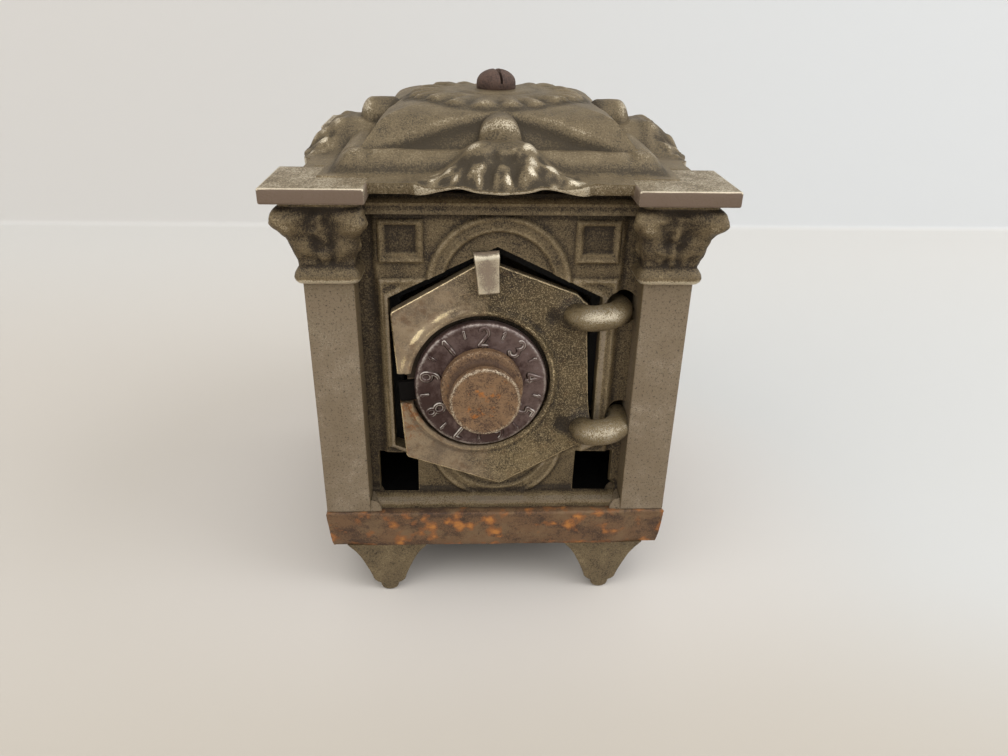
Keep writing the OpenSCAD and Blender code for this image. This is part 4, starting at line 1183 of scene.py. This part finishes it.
def edge_reach(angle):
    """Distance from the lock's axis to the door's edge at each angle: six sides and a fillet at each hook."""
    corners = DOOR_OUTLINE - [LOCK_U, LOCK_W]
    ray = np.stack([np.cos(angle), np.sin(angle)], -1)
    best = np.full(len(angle), 1e9)
    for i in range(len(corners)):
        a, b = corners[i], corners[(i + 1) % len(corners)]
        along = b - a
        turn = ray[:, 0] * along[1] - ray[:, 1] * along[0]
        turn = np.where(np.abs(turn) < 1e-9, 1e-9, turn)
        reach = (a[0] * along[1] - a[1] * along[0]) / turn
        at = (a[0] * ray[:, 1] - a[1] * ray[:, 0]) / turn
        hit = (reach > 0) & (at > -1e-6) & (at < 1 + 1e-6)
        best = np.where(hit, np.minimum(best, reach), best)
    return best


def hung_box(left, right, low, high):
    """A closed box right through the door, in the door's own directions."""
    points, faces = prism([(left, low), (right, low), (right, high), (left, high)], -4, 6)
    return hung(points), faces


# Corners of the door's outline, across and up
DOOR_OUTLINE = np.array([[0, -26.2], [20.2, -17.5], [20.9, -16.8], [21.15, -15.6], [21.3, -11.0],
                         [21.2, -10.4], [21.1, -9.3], [21.0, -7.6], [21.0, 10.0], [21.1, 10.8], [21.3, 15.0],
                         [20.9, 15.3], [20.2, 15.9], [19.7, 16.7], [19.0, 17.4], [0, 26.25], [-20.1, 17.0],
                         [-20.4, 16.3], [-20.4, -16.3], [-20.1, -17.0]])


class BANK_OT_door(bpy.types.Operator):
    """Builds the six-sided door with its bead, notch, pocket, index tab and hinge hooks"""

    bl_idname = "coin_bank.door"
    bl_label = "Door"

    def execute(self, context):
        hole = context.scene.coin_bank_sizes.dial_hole / MM / 2
        corners = DOOR_OUTLINE - [LOCK_U, LOCK_W]
        angle = np.sort(np.concatenate([np.linspace(-np.pi, np.pi, 300, endpoint=False),
                                        np.arctan2(corners[:, 1], corners[:, 0])]))
        reach = edge_reach(angle)
        c, s = np.cos(angle), np.sin(angle)
        rows, worn_and_painted_light = [], []

        def row(r, d, wear_and_painted_light=0.0):
            u, w = LOCK_U + r * c, LOCK_W + r * s
            rows.append(np.stack([u, np.broadcast_to(d, u.shape), w], -1))
            worn_and_painted_light.append(np.broadcast_to(wear_and_painted_light, u.shape))

        lip = hill((angle - 2.34 + np.pi) % (2 * np.pi) - np.pi, 0, 0.62, 1, 1.0)
        row(np.full_like(angle, hole), 2.9)
        # Painted shade on the dial hole's inner wall
        row(np.full_like(angle, hole), 1.2, -0.6)
        row(np.full_like(angle, hole), 0.2, -0.3)
        row(np.full_like(angle, hole + 0.05), -0.35, 0.3)
        for t in np.concatenate([np.linspace(0, 0.16, 9), np.linspace(0.2, 0.93, 20)]):
            span = reach - 0.35 - (hole + 0.15)
            r = hole + 0.15 + np.where(t <= 0.16, t / 0.16 * np.minimum(2.6, span * 0.5), 0)
            if t > 0.16:
                base = np.minimum(2.6, span * 0.5)
                r = hole + 0.15 + base + (t - 0.16) / 0.77 * (span - base)
            x = r - hole
            bead = 0.62 * (1 - lip * 0.35) * smooth_step(-0.1, 0.3, x) * smooth_step(1.55, 1.15, x)
            slope = 0.5 * lip * smooth_step(3.2, 1.4, x)
            u, w = LOCK_U + r * c, LOCK_W + r * s
            root = hill(u - 18.4, w - 13.2, 3.3, 3.0, 2.7) + hill(u - 19.2, w + 13.4, 3.3, 3.1, 2.7)
            pit = (hill(u - 13.4, w - 12.8, 1.3, 2.0, 0.6) + hill(u - 14.6, w + 12.6, 1.6, 2.2, 0.8)
                   + hill(u - 10.4, w - 10.6, 1.2, 1.2, 0.35))
            p = np.stack([u, 0 * u, w], -1)
            d = (-np.maximum(bead, slope) - root + pit + 0.09 * unevenness(p, 1.2, 51)
                 + 0.12 * unevenness(p, 4.5, 52))
            scratches = unevenness(np.stack([angle * 5.0, 0 * u + x * 0.8, 0 * u], -1), 1.0, 91)
            streak = np.clip(0.85 + 1.2 * scratches, 0, 1.3)
            # The crescent by the dial and the bead's top rubbed bright, partly painted highlight; painted
            # shade beside the bead, round the hook roots and in the pits
            wear_and_painted_light = 0.95 * lip * streak * ring(x, 1.6, 2.6, 0.45) + 0.42 * ring(x, 0.55, 1.05, 0.25)
            wear_and_painted_light = (wear_and_painted_light - 0.35 * smooth_step(1.4, 1.7, x) * smooth_step(2.6, 2.0, x) * (1 - lip)
                    - 0.5 * smooth_step(0.15, 0.9, root) * smooth_step(2.4, 1.2, root))
            wear_and_painted_light = wear_and_painted_light - 1.5 * pit
            row(r, d, wear_and_painted_light)
        # Painted highlight on the door's edge, partly rubbing
        row(reach - 0.32, 0.0, 0.45)
        row(reach - 0.1, 0.1, 0.95)
        row(reach, 0.38, 0.5)
        low = smooth_step(-13, -19, LOCK_W + reach * s)
        row(reach, 2.8 - low, -0.1)
        row(reach - 0.25, 3.0 - low)
        row(np.full_like(angle, hole + 1.0), 3.0)
        plate = Shell()
        plate.grid(np.array(rows), wrap=True, wear_and_painted_light=np.array(worn_and_painted_light))
        cols, last = len(angle), (len(rows) - 1) * len(angle)
        plate.faces += [(last + j, last + (j + 1) % cols, (j + 1) % cols, j) for j in range(cols)]
        door = plate.finish("door_plate", finish("door"), "door_leaf", ["door"], slot="door", sharp=38,
                            move=hung)
        # The notch's cut faces are black, as painted shade
        cut(door, [hung_box(-24, -15.5, -3.75, 3.15)])
        soften(door)

        floor = Shell()
        r = np.array([2.06, 2.06, 4, 7, 10, 13, hole + 0.6, hole + 0.6, 2.06])
        d = np.array([3.0, 2.0, 2.0, 2.0, 2.0, 2.0, 2.0, 3.0, 3.0])
        t = np.linspace(0, 2 * np.pi, 96, endpoint=False)
        pts = np.stack([LOCK_U + r[:, None] * np.cos(t), np.repeat(d[:, None], 96, 1),
                        LOCK_W + r[:, None] * np.sin(t)], -1)
        # Painted shade on the pocket's floor; the pocket's cut faces below are black, as painted shade
        floor.grid(pts, wrap=True, flip=True, wear_and_painted_light=-0.7)
        pocket = floor.finish("door_pocket_floor", finish("door"), "door_leaf", slot="door", move=hung)
        cut(pocket, [hung_box(-19.7, -11.2, -3.35, 0.95)])

        hooks = Shell()
        for w, (root, fat, bend) in zip(HOOK_HEIGHTS, ((18.2, 1.0, 226), (19.0, 1.04, 231))):
            a = np.radians(np.linspace(186, 382, 46))
            path = [AXIS_U + HOOK_BEND * np.cos(a), AXIS_D + HOOK_BEND * np.sin(a), np.full(len(a), w)]
            path = np.stack(path, -1)[np.degrees(a) > bend]
            lead = np.array([[root, 1.9, w], [root, 0.8, w], [root, -0.3, w], [root + 0.05, -1.3, w]])
            radii = np.concatenate([[2.9, 2.75, 2.7, 2.7], np.full(len(path), HOOK_RADIUS)])
            path = np.concatenate([lead, path])
            rings = np.linspace(0, 2 * np.pi, 30, endpoint=False)
            radii = radii[:, None] * fat * (1 + 0.02 * np.cos(2 * rings + 1))[None]
            place = np.broadcast_arrays(path[:, [0]], np.cos(rings) * 3, np.sin(rings) * 3 + w)
            radii = radii + 0.09 * unevenness(np.stack(place, -1), 2.2, 61)
            hooks.tube(path, radii, around=30)
            p = hooks.points[-1]
            up = (p[:, 2] - w) / HOOK_RADIUS
            # Darker towards the root end; a painted highlight along the middle of the tube, painted shade
            # underneath and where the tube lies against the plate
            along = np.interp(p[:, 0], [14, 17, 19.5, 22, 26, 28.5], [-0.9, -0.35, 0.0, 0.1, 0.1, -0.2])
            hooks.wear_and_painted_light[-1] = (along + 0.42 * np.exp(-(((up - 0.3) / 0.42) ** 2))
                              - 0.15 * smooth_step(0, -1, up))
            hooks.wear_and_painted_light[-1] -= 0.9 * smooth_step(-1.9, -0.3, p[:, 1]) * (p[:, 0] < 23)
        hooks.finish("door_hooks", finish("hook"), "door_leaf", slot="door", sharp=50, move=hung)

        tab = Shell()
        outline = []
        for w, half, front, back in ((19.4, 2.15, -1.25, 0.6), (19.65, 2.25, -1.5, 0.6),
                                     (21.5, 2.3, -1.55, 0.6), (25.0, 2.45, -1.75, 0.6),
                                     (26.6, 2.6, -1.95, -0.4), (27.2, 2.65, -1.95, -0.9),
                                     (27.7, 2.65, -1.6, -0.9), (28.1, 2.65, -1.25, -0.9),
                                     (28.3, 2.6, -1.0, -0.9)):
            shape = [(-half, back), (-half, front + 0.35), (-half + 0.12, front + 0.1), (-half + 0.4, front),
                     (0, front - 0.05), (half - 0.4, front), (half - 0.12, front + 0.1), (half, front + 0.35),
                     (half, back)]
            outline.append([[u + 0.25, d, w] for u, d in shape])
        # Painted highlights on the front's corners, its bottom edge and its upper rim; painted shade on the
        # top face
        across = np.array([0, 0.5, 0.55, 0.35, -0.05, 0.35, 0.55, 0.5, 0])
        upward = np.array([0.4, 0.4, 0.15, 0.1, 0.25, 0.75, 0.3, -0.2, -0.2])
        tab.grid(np.array(outline), wrap=True, wear_and_painted_light=upward[:, None] + across[None], ends=True)
        tab.finish("index_tab", finish("tab"), "door_leaf", slot="door", sharp=40, move=hung)
        return {"FINISHED"}


def arc_points(cx, cy, rx, ry, start, end, count=14):
    t = np.radians(np.linspace(start, end, count))
    return np.stack([cx + rx * np.cos(t), cy + ry * np.sin(t)], -1)


def numeral(digit):
    """The stroke of a numeral in a field one unit high, centred across.

    0 gives the mark between two numerals, in millimetres from the dial's middle.
    """
    parts = {
        0: [[[-0.25, 12.5], [0.12, 13.2], [0.0, 11.3]]],
        1: [[[-0.20, 0.80], [0.02, 1.0], [0.02, 0.0]]],
        2: [arc_points(0, 0.73, 0.27, 0.27, 172, -28), [[-0.28, 0.0], [0.30, 0.0]]],
        3: [arc_points(-0.02, 0.76, 0.24, 0.24, 160, -80), arc_points(-0.02, 0.27, 0.28, 0.27, 82, -165)],
        4: [[[0.10, 0.0], [0.10, 1.0], [-0.30, 0.30], [0.30, 0.30]]],
        5: [[[0.24, 1.0], [-0.20, 1.0], [-0.22, 0.58]], arc_points(0, 0.31, 0.28, 0.31, 128, -150)],
        6: [arc_points(0.12, 0.62, 0.38, 0.38, 95, 180), arc_points(0.0, 0.28, 0.27, 0.28, 180, 540)],
        7: [[[-0.27, 1.0], [0.28, 1.0], [-0.06, 0.0]]],
        8: [arc_points(0, 0.77, 0.22, 0.23, -90, 270, 20), arc_points(0, 0.27, 0.28, 0.27, 90, 450, 22)],
        9: [arc_points(-0.12, 0.38, 0.38, 0.38, -85, 0), arc_points(0.0, 0.72, 0.27, 0.28, 0, 360)],
    }
    return np.concatenate(parts[digit])


def fine(points, step):
    """The same line with points at equal steps."""
    length = np.concatenate([[0], np.cumsum(np.linalg.norm(np.diff(points, axis=0), axis=1))])
    at = np.linspace(0, length[-1], max(3, int(length[-1] / step)))
    return np.stack([np.interp(at, length, points[:, 0]), np.interp(at, length, points[:, 1])], -1)


def raised_stroke(shell, line, half, rise=0.34):
    """A raised stroke along points of u, w on the dial's face, with edges rubbed bright and given painted
    highlights, and painted shadow beside it.
    """
    step = np.gradient(line, axis=0)
    step /= np.linalg.norm(step, axis=1, keepdims=True) + 1e-9
    side = np.stack([-step[:, 1], step[:, 0]], -1)
    n = len(line)
    near_end = np.minimum(np.arange(n), np.arange(n)[::-1]) * np.linalg.norm(line[1] - line[0])
    narrow = np.sqrt(np.clip(1 - (1 - np.minimum(near_end / half, 1)) ** 2, 0.05, 1))[:, None]
    rows, wear_and_painted_light = [], []
    # Painted shadow beside the stroke and painted highlights along its edges, patchy as if rubbed
    for across, up, worn_and_painted_light in ((-1.6, -0.15, -0.9), (-1.15, 0.1, -0.7), (-0.95, 0.6, 0.3), (-0.65, 0.95, 0.85),
                             (-0.3, 1.0, 0.4), (0, 1.0, 0.25), (0.3, 1.0, 0.4), (0.65, 0.95, 0.85),
                             (0.95, 0.6, 0.3), (1.15, 0.1, -0.7), (1.6, -0.15, -0.9)):
        flat = line + side * across * half * narrow
        rows.append(np.stack([flat[:, 0], np.full(n, -2.0 - up * rise), flat[:, 1]], -1))
        wear_and_painted_light.append(worn_and_painted_light * (0.75 + 0.7 * unevenness(rows[-1], 1.3, 83)) if worn_and_painted_light > 0 else np.full(n, worn_and_painted_light))
    shell.grid(np.array(rows), wear_and_painted_light=np.array(wear_and_painted_light))


class BANK_OT_dial(bpy.types.Operator):
    """Builds the dial plate with raised numerals 1 to 9 and the marks between them"""

    bl_idname = "coin_bank.dial"
    bl_label = "Dial"

    def execute(self, context):
        sizes = context.scene.coin_bank_sizes
        r = sizes.dial_size / MM / 2 - 0.2
        shell = Shell()
        profile = [(2.05, -0.3), (r - 0.4, -0.3), (r, 0.0), (r, 1.35), (r - 0.12, 1.75), (r - 0.42, 2.02),
                   (r - 0.8, 2.1), (r - 1.2, 2.06)]
        profile += ([(q, 2.02 - 0.06 * math.sin((q - 8.0) / 5.3 * math.pi))
                     for q in np.linspace(r - 1.6, 8.4, 12)] + [(8.0, 2.05), (2.05, 2.05), (2.05, -0.3)])
        # Painted highlight on the dial's rim, partly rubbing
        wear_and_painted_light = [0, 0, 0, 0.1, 0.3, 0.5, 0.36, 0.22, 0.2, 0.12, 0.05] + [0.0] * 9 + [0.0, 0, 0]
        shell.turned(profile, 160, wear_and_painted_light, 0.05)
        ridges = Shell()
        tall, foot = sizes.numeral_height / MM, 9.25
        for k in range(9):
            for digit, turn in ((k + 1, math.radians(6.3 + 40 * (k - 1))),
                                (0, math.radians(26.3 + 40 * (k - 1)))):
                c, s = math.cos(turn), math.sin(turn)
                stroke = numeral(digit) * [tall * 0.86, tall] + [0, foot] if digit else numeral(0)
                line = fine(stroke, 0.09)
                u, w = line[:, 0] * c + line[:, 1] * s, -line[:, 0] * s + line[:, 1] * c
                raised_stroke(ridges, np.stack([LOCK_U + u, LOCK_W + w], -1), 0.40 if digit else 0.26)
        shell.finish("dial_plate", finish("dial"), "dial_set", ["dial"], slot="dial", sharp=40, move=hung)
        ridges.finish("dial_numerals", finish("dial"), "dial_set", slot="dial", sharp=60, move=hung)
        return {"FINISHED"}


class BANK_OT_knob(bpy.types.Operator):
    """Builds the turned knob with its collar and rubbed rim, with painted highlights on the rims and painted
    shade in the neck
    """

    bl_idname = "coin_bank.knob"
    bl_label = "Knob"

    def execute(self, context):
        r = context.scene.coin_bank_sizes.knob_size / MM / 2
        profile = [(2.05, 2.0), (8.55, 2.0), (8.8, 2.2), (8.8, 3.6), (8.65, 4.05), (8.25, 4.35), (7.6, 4.45),
                   (6.9, 4.6), (6.45, 5.0), (6.3, 5.7), (6.35, 6.4), (6.6, 7.1), (6.95, 7.8), (7.2, 8.5),
                   (r - 0.03, 9.2), (r, 9.9), (r - 0.06, 10.3), (r - 0.25, 10.56), (r - 0.55, 10.65),
                   (r - 0.85, 10.62)]
        profile += [(q, 10.58) for q in np.linspace(r - 1.15, 0.4, 15)] + [(0.01, 10.58)]
        # Painted shade in the neck under the head; painted highlights on the collar's rim and the head's rim,
        # partly rubbing
        wear_and_painted_light = ([0, 0, 0.1, 0.05, 0.36, 0.2, -0.3, -0.7, -0.9, -0.9, -0.7, -0.4, -0.1, 0.15, 0.1, 0.2, 0.36,
                 0.52, 0.48, 0.2] + [0.0] * 16)
        shell = Shell()
        shell.turned(profile, 120, wear_and_painted_light, 0.14)
        shell.finish("knob_turned", finish("knob"), "dial_set", ["knob"], slot="knob", sharp=45, move=hung)
        return {"FINISHED"}


class BANK_OT_lock_parts(bpy.types.Operator):
    """Gives the bolt, the wheels, the spindle and the fastenings their metals"""

    bl_idname = "coin_bank.lock_parts"
    bl_label = "Lock parts"

    def execute(self, context):
        metals = {
            "bolt": ("lock_bolt", "bolt_fence"),
            "brass": ("driver_wheel", "tumbler_wheel"),
            "steel": ("spindle", "knob_pin", "spring_washer", "driver_pin", "tumbler_pin", "wheel_washers",
                      "spindle_nut", "bolt_guides", "guide_rivets"),
            "screw": ("screw_nut", "nut_washer"),
        }
        for metal, nodes in metals.items():
            for node in nodes:
                mesh = frame["nodes"][node].data
                mesh.materials.clear()
                mesh.materials.append(finish(metal))
        return {"FINISHED"}


# Stage


class BANK_OT_stage(bpy.types.Operator):
    """Sets up the table, the wall behind it, the soft lights and the camera"""

    bl_idname = "coin_bank.stage"
    bl_label = "Table, lights and camera"

    def execute(self, context):
        c = context.scene.coin_bank_colours
        scene = context.scene
        y_wall = 0.283
        profile = [(-1.6, 0.0), (y_wall - 0.004, 0.0), (y_wall - 0.001, 0.0008), (y_wall, 0.003),
                   (y_wall, 1.6)]
        verts = [(x, y, z) for x in (-1.8, 1.8) for y, z in profile]
        n = len(profile)
        faces = [(i, n + i, n + i + 1, i + 1) for i in range(n - 1)]
        mesh = bpy.data.meshes.new("table_and_wall")
        mesh.from_pydata(verts, [], faces)
        floor = bpy.data.objects.new("table_and_wall", mesh)
        scene.collection.objects.link(floor)
        mesh.shade_smooth()
        look = Look("table_card", specular_ior_level=0.25)
        up = look.step(look.along("Z"), 0.0, 3.0)
        dust = look.noise(60.0, 3.0, 0.5)
        warm = look.mix(dust * 0.25, tuple(c.table), tuple(v * 0.97 for v in c.table))
        x, y = look.along("X"), look.along("Y")
        reach = ((x * 0.85) ** 2.0 + (y - 5.0) ** 2.0) ** 0.5
        # Painted light: the table lighter and cooler to the right, lighter at the back and round the bank
        warm = look.over(warm, tuple(c.table_painted_light_right), x + y * 0.5, 0.0, 120.0)
        warm = look.over(warm, tuple(c.table_painted_light_back), y, 40.0, 280.0)
        warm = look.over(warm, tuple(c.table_painted_light_near), reach, 100.0, 45.0, 0.55)
        # Painted shadow under the bank and painted shade along the front
        warm = look.over(warm, tuple(v * 0.5 for v in c.table), reach, 40.0, 24.0, 0.5)
        warm = look.over(warm, tuple(c.table_painted_shade_front), y, -30.0, -115.0, 0.95)
        # Painted shade: the wall darker and warmer to the left
        wall = look.over(tuple(c.backdrop_painted_shade_left), tuple(c.backdrop), x, -260.0, 220.0)
        look.set(base_color=look.mix(up, warm, wall), roughness=0.55)
        mesh.materials.append(look.material)

        def area(name, place, aim, size, power, colour=(1, 1, 1)):
            data = bpy.data.lights.new(name, "AREA")
            data.shape, data.size, data.size_y = "RECTANGLE", size[0], size[1]
            data.energy, data.color = power, colour
            lamp = bpy.data.objects.new(name, data)
            lamp.location = place
            lamp.rotation_euler = (Vector(aim) - Vector(place)).to_track_quat("-Z", "Y").to_euler()
            scene.collection.objects.link(lamp)

        area("ceiling", (0.22, -0.42, 1.4), (0.02, 0.02, 0.0), (2.5, 2.0), 13.4, (1.0, 0.99, 0.975))
        area("window_right", (1.1, -0.25, 0.85), (0.35, 0.08, 0.0), (1.0, 0.9), 6.0, (0.94, 0.98, 1.06))
        area("room_left", (-1.0, -0.8, 0.7), (0, 0, 0.06), (0.8, 0.8), 2.4, (1.0, 0.97, 0.92))
        world = bpy.data.worlds.new("soft_room")
        world.use_nodes = True
        sky = world.node_tree.nodes["Background"].inputs
        sky["Color"].default_value, sky["Strength"].default_value = (0.92, 0.94, 0.97, 1), 1.02
        scene.world = world

        camera = bpy.data.objects.new("camera", bpy.data.cameras.new("camera"))
        camera.data.lens, camera.data.sensor_width = CAMERA_LENS, CAMERA_SENSOR
        camera.data.clip_start = 0.005
        pitch, yaw, roll = (math.radians(v) for v in CAMERA_TURNS)
        ahead = np.array([math.sin(yaw) * math.cos(pitch), math.cos(yaw) * math.cos(pitch), -math.sin(pitch)])
        right = np.cross(ahead, [0, 0, 1])
        right /= np.linalg.norm(right)
        up = np.cross(right, ahead)
        across = right * math.cos(roll) + up * math.sin(roll)
        upward = -right * math.sin(roll) + up * math.cos(roll)
        place = (np.array(CAMERA_PLACE) + MIDDLE) * MM
        columns = np.stack([across, upward, -ahead], 1)
        camera.matrix_world = Matrix([[*columns[i], place[i]] for i in range(3)] + [[0, 0, 0, 1]])
        scene.collection.objects.link(camera)
        scene.camera = camera
        scene.view_settings.view_transform = "Standard"
        return {"FINISHED"}


# Panel and registering


def length(name, description, default):
    return FloatProperty(name=name, description=description, default=default, unit="LENGTH")


def colour(name, description, red, green, blue):
    return FloatVectorProperty(name=name, description=description, subtype="COLOR", size=3, min=0, max=1,
                               default=srgb(red, green, blue))


class BankSizes(bpy.types.PropertyGroup):
    """Sizes of the pieces in the visual model"""

    pad_size: length("Pad size", "Width of the roof's square corner pads", 0.01933)
    pad_thick: length("Pad thickness", "Thickness of the roof's corner pads", 0.003)
    screw_head: length("Screw head", "Diameter of the roof screw's head", 0.0088)
    screw_rod: length("Screw rod", "Diameter of the roof screw's rod", 0.0044)
    dial_hole: length("Dial hole", "Diameter of the hole in the door for the dial", 0.0304)
    dial_size: length("Dial", "Diameter of the numbered dial", 0.029)
    numeral_height: length("Numerals", "Height of the raised numerals", 0.0039)
    knob_size: length("Knob", "Diameter of the knob's head", 0.0148)


class BankColours(bpy.types.PropertyGroup):
    """Colours of the finishes"""

    # This colour is dirt and also painted shade in hollows and beside the dial's numerals
    dirt: colour("Dirt", "Dark grime in the hollows", 46, 36, 24)
    patina: colour("Patina", "Brown film over the plating", 106, 90, 64)
    pale: colour("Pale patina", "Lighter film on raised parts", 158, 139, 103)
    # Plated, bright and gold are worn metal and also the colour of painted highlights
    plated: colour("Plating", "Bare worn nickel on the posts", 150, 136, 116)
    post_dark: colour("Plating shade", "Darker plating on the posts", 128, 112, 90)
    pad: colour("Pads", "Pinkish plating on the pads' faces", 114, 96, 81)
    tab: colour("Tab", "Plating on the index tab", 138, 121, 104)
    hook: colour("Hooks", "Plating on the hinge hooks and the tab", 158, 146, 124)
    bright: colour("Bright metal", "Nickel rubbed bright", 206, 193, 168)
    gold: colour("Golden metal", "Metal rubbed bright on the door", 222, 200, 158)
    # Roof dirt and roof hollows are dirt and also painted shade, under the hooks and in the roof's hollows
    roof_dark: colour("Roof dirt", "Dark tone of the roof", 48, 39, 27)
    roof_hollow: colour("Roof hollows", "Tone of the roof's hollows", 62, 52, 36)
    roof_mid: colour("Roof", "Middle tone of the roof", 103, 88, 62)
    roof_pale: colour("Roof pale", "Pale tone of the roof", 144, 127, 97)
    slab: colour("Slab", "Brown of the base slab", 112, 84, 58)
    slab_pale: colour("Slab pale", "Greyer film on the base slab", 122, 98, 70)
    rust_bright: colour("Bright rust", "Fresh spots of rust", 186, 122, 56)
    slab_dark: colour("Slab dark", "Dark tone of the base slab", 68, 50, 38)
    rust: colour("Rust", "Orange rust", 134, 84, 44)
    door_left: colour("Door left", "Smooth plating on the door's left part", 149, 130, 104)
    door_dark: colour("Door shade", "Darker plating on the door's left part", 112, 97, 80)
    door_brown: colour("Door brown", "Brown stains on the door's left part", 104, 78, 56)
    door_right: colour("Door right", "Grainy film on the door's right part", 92, 77, 52)
    door_low: colour("Door low", "Film on the door's lowest part", 118, 101, 70)
    dial: colour("Dial", "Brownish grey of the dial", 110, 92, 87)
    dial_dark: colour("Dial dark", "Dark tone of the dial", 68, 50, 46)
    # Also the painted highlight towards the dial's upper right
    dial_bright: colour("Dial bright", "Bright tone of the dial", 178, 172, 170)
    knob: colour("Knob", "Brown steel of the knob", 134, 104, 74)
    knob_rust: colour("Knob rust", "Orange rust on the knob", 172, 104, 38)
    knob_dark: colour("Knob dark", "Dark tone of the knob", 70, 50, 38)
    screw: colour("Screw", "Brown of the roof screw", 92, 70, 58)
    screw_dark: colour("Screw dark", "Dark tone of the roof screw", 52, 38, 32)
    steel: colour("Steel", "Inner steel parts", 120, 116, 108)
    steel_dark: colour("Steel dark", "Dark tone of the inner steel", 74, 68, 60)
    brass: colour("Brass", "Wheels of the lock", 158, 132, 78)
    brass_dark: colour("Brass dark", "Dark tone of the wheels", 104, 82, 44)
    # Near black, as painted shade on the bolt inside the bank
    bolt: colour("Bolt", "Dark iron of the bolt", 17, 14, 12)
    table: colour("Table", "Pale table", 192, 185, 175)
    # Painted light and shade on the table and the wall: lighter right, back and round the bank, darker in
    # front and on the wall's left
    table_painted_light_right: colour("Table on the right", "Cooler right part of the table", 194, 193, 189)
    table_painted_light_near: colour("Table by the bank", "Part of the table round the bank", 208, 202, 195)
    table_painted_light_back: colour("Table at the back", "Far part of the table", 198, 195, 189)
    table_painted_shade_front: colour("Table in front", "Darker front part of the table", 179, 170, 156)
    backdrop: colour("Wall", "Wall behind the table", 204, 204, 202)
    backdrop_painted_shade_left: colour("Wall on the left", "Warmer left part of the wall", 201, 197, 191)


STEPS = (BANK_OT_roof, BANK_OT_roof_screw, BANK_OT_front_wall, BANK_OT_other_walls, BANK_OT_base,
         BANK_OT_door, BANK_OT_dial, BANK_OT_knob, BANK_OT_lock_parts, BANK_OT_stage)


class BANK_PT_panel(bpy.types.Panel):
    """Sizes, colours and building steps of the coin bank"""

    bl_idname = "BANK_PT_panel"
    bl_label = "Safe Coin Bank"
    bl_space_type = "VIEW_3D"
    bl_region_type = "UI"
    bl_category = "Coin Bank"

    def draw(self, context):
        for group in (context.scene.coin_bank_sizes, context.scene.coin_bank_colours):
            box = self.layout.box()
            for name in group.__annotations__:
                box.prop(group, name)
        for step in STEPS:
            self.layout.operator(step.bl_idname)


CLASSES = (BankSizes, BankColours, *STEPS, BANK_PT_panel)


def register():
    for item in CLASSES:
        bpy.utils.register_class(item)
    bpy.types.Scene.coin_bank_sizes = PointerProperty(type=BankSizes)
    bpy.types.Scene.coin_bank_colours = PointerProperty(type=BankColours)


def unregister():
    del bpy.types.Scene.coin_bank_colours
    del bpy.types.Scene.coin_bank_sizes
    for item in reversed(CLASSES):
        bpy.utils.unregister_class(item)


def main():
    register()
    for step in STEPS:
        group, name = step.bl_idname.split(".")
        result = getattr(getattr(bpy.ops, group), name)()
        if result != {"FINISHED"}:
            raise RuntimeError(f"{step.bl_idname} didn't finish")


if __name__ == "__main__":
    main()
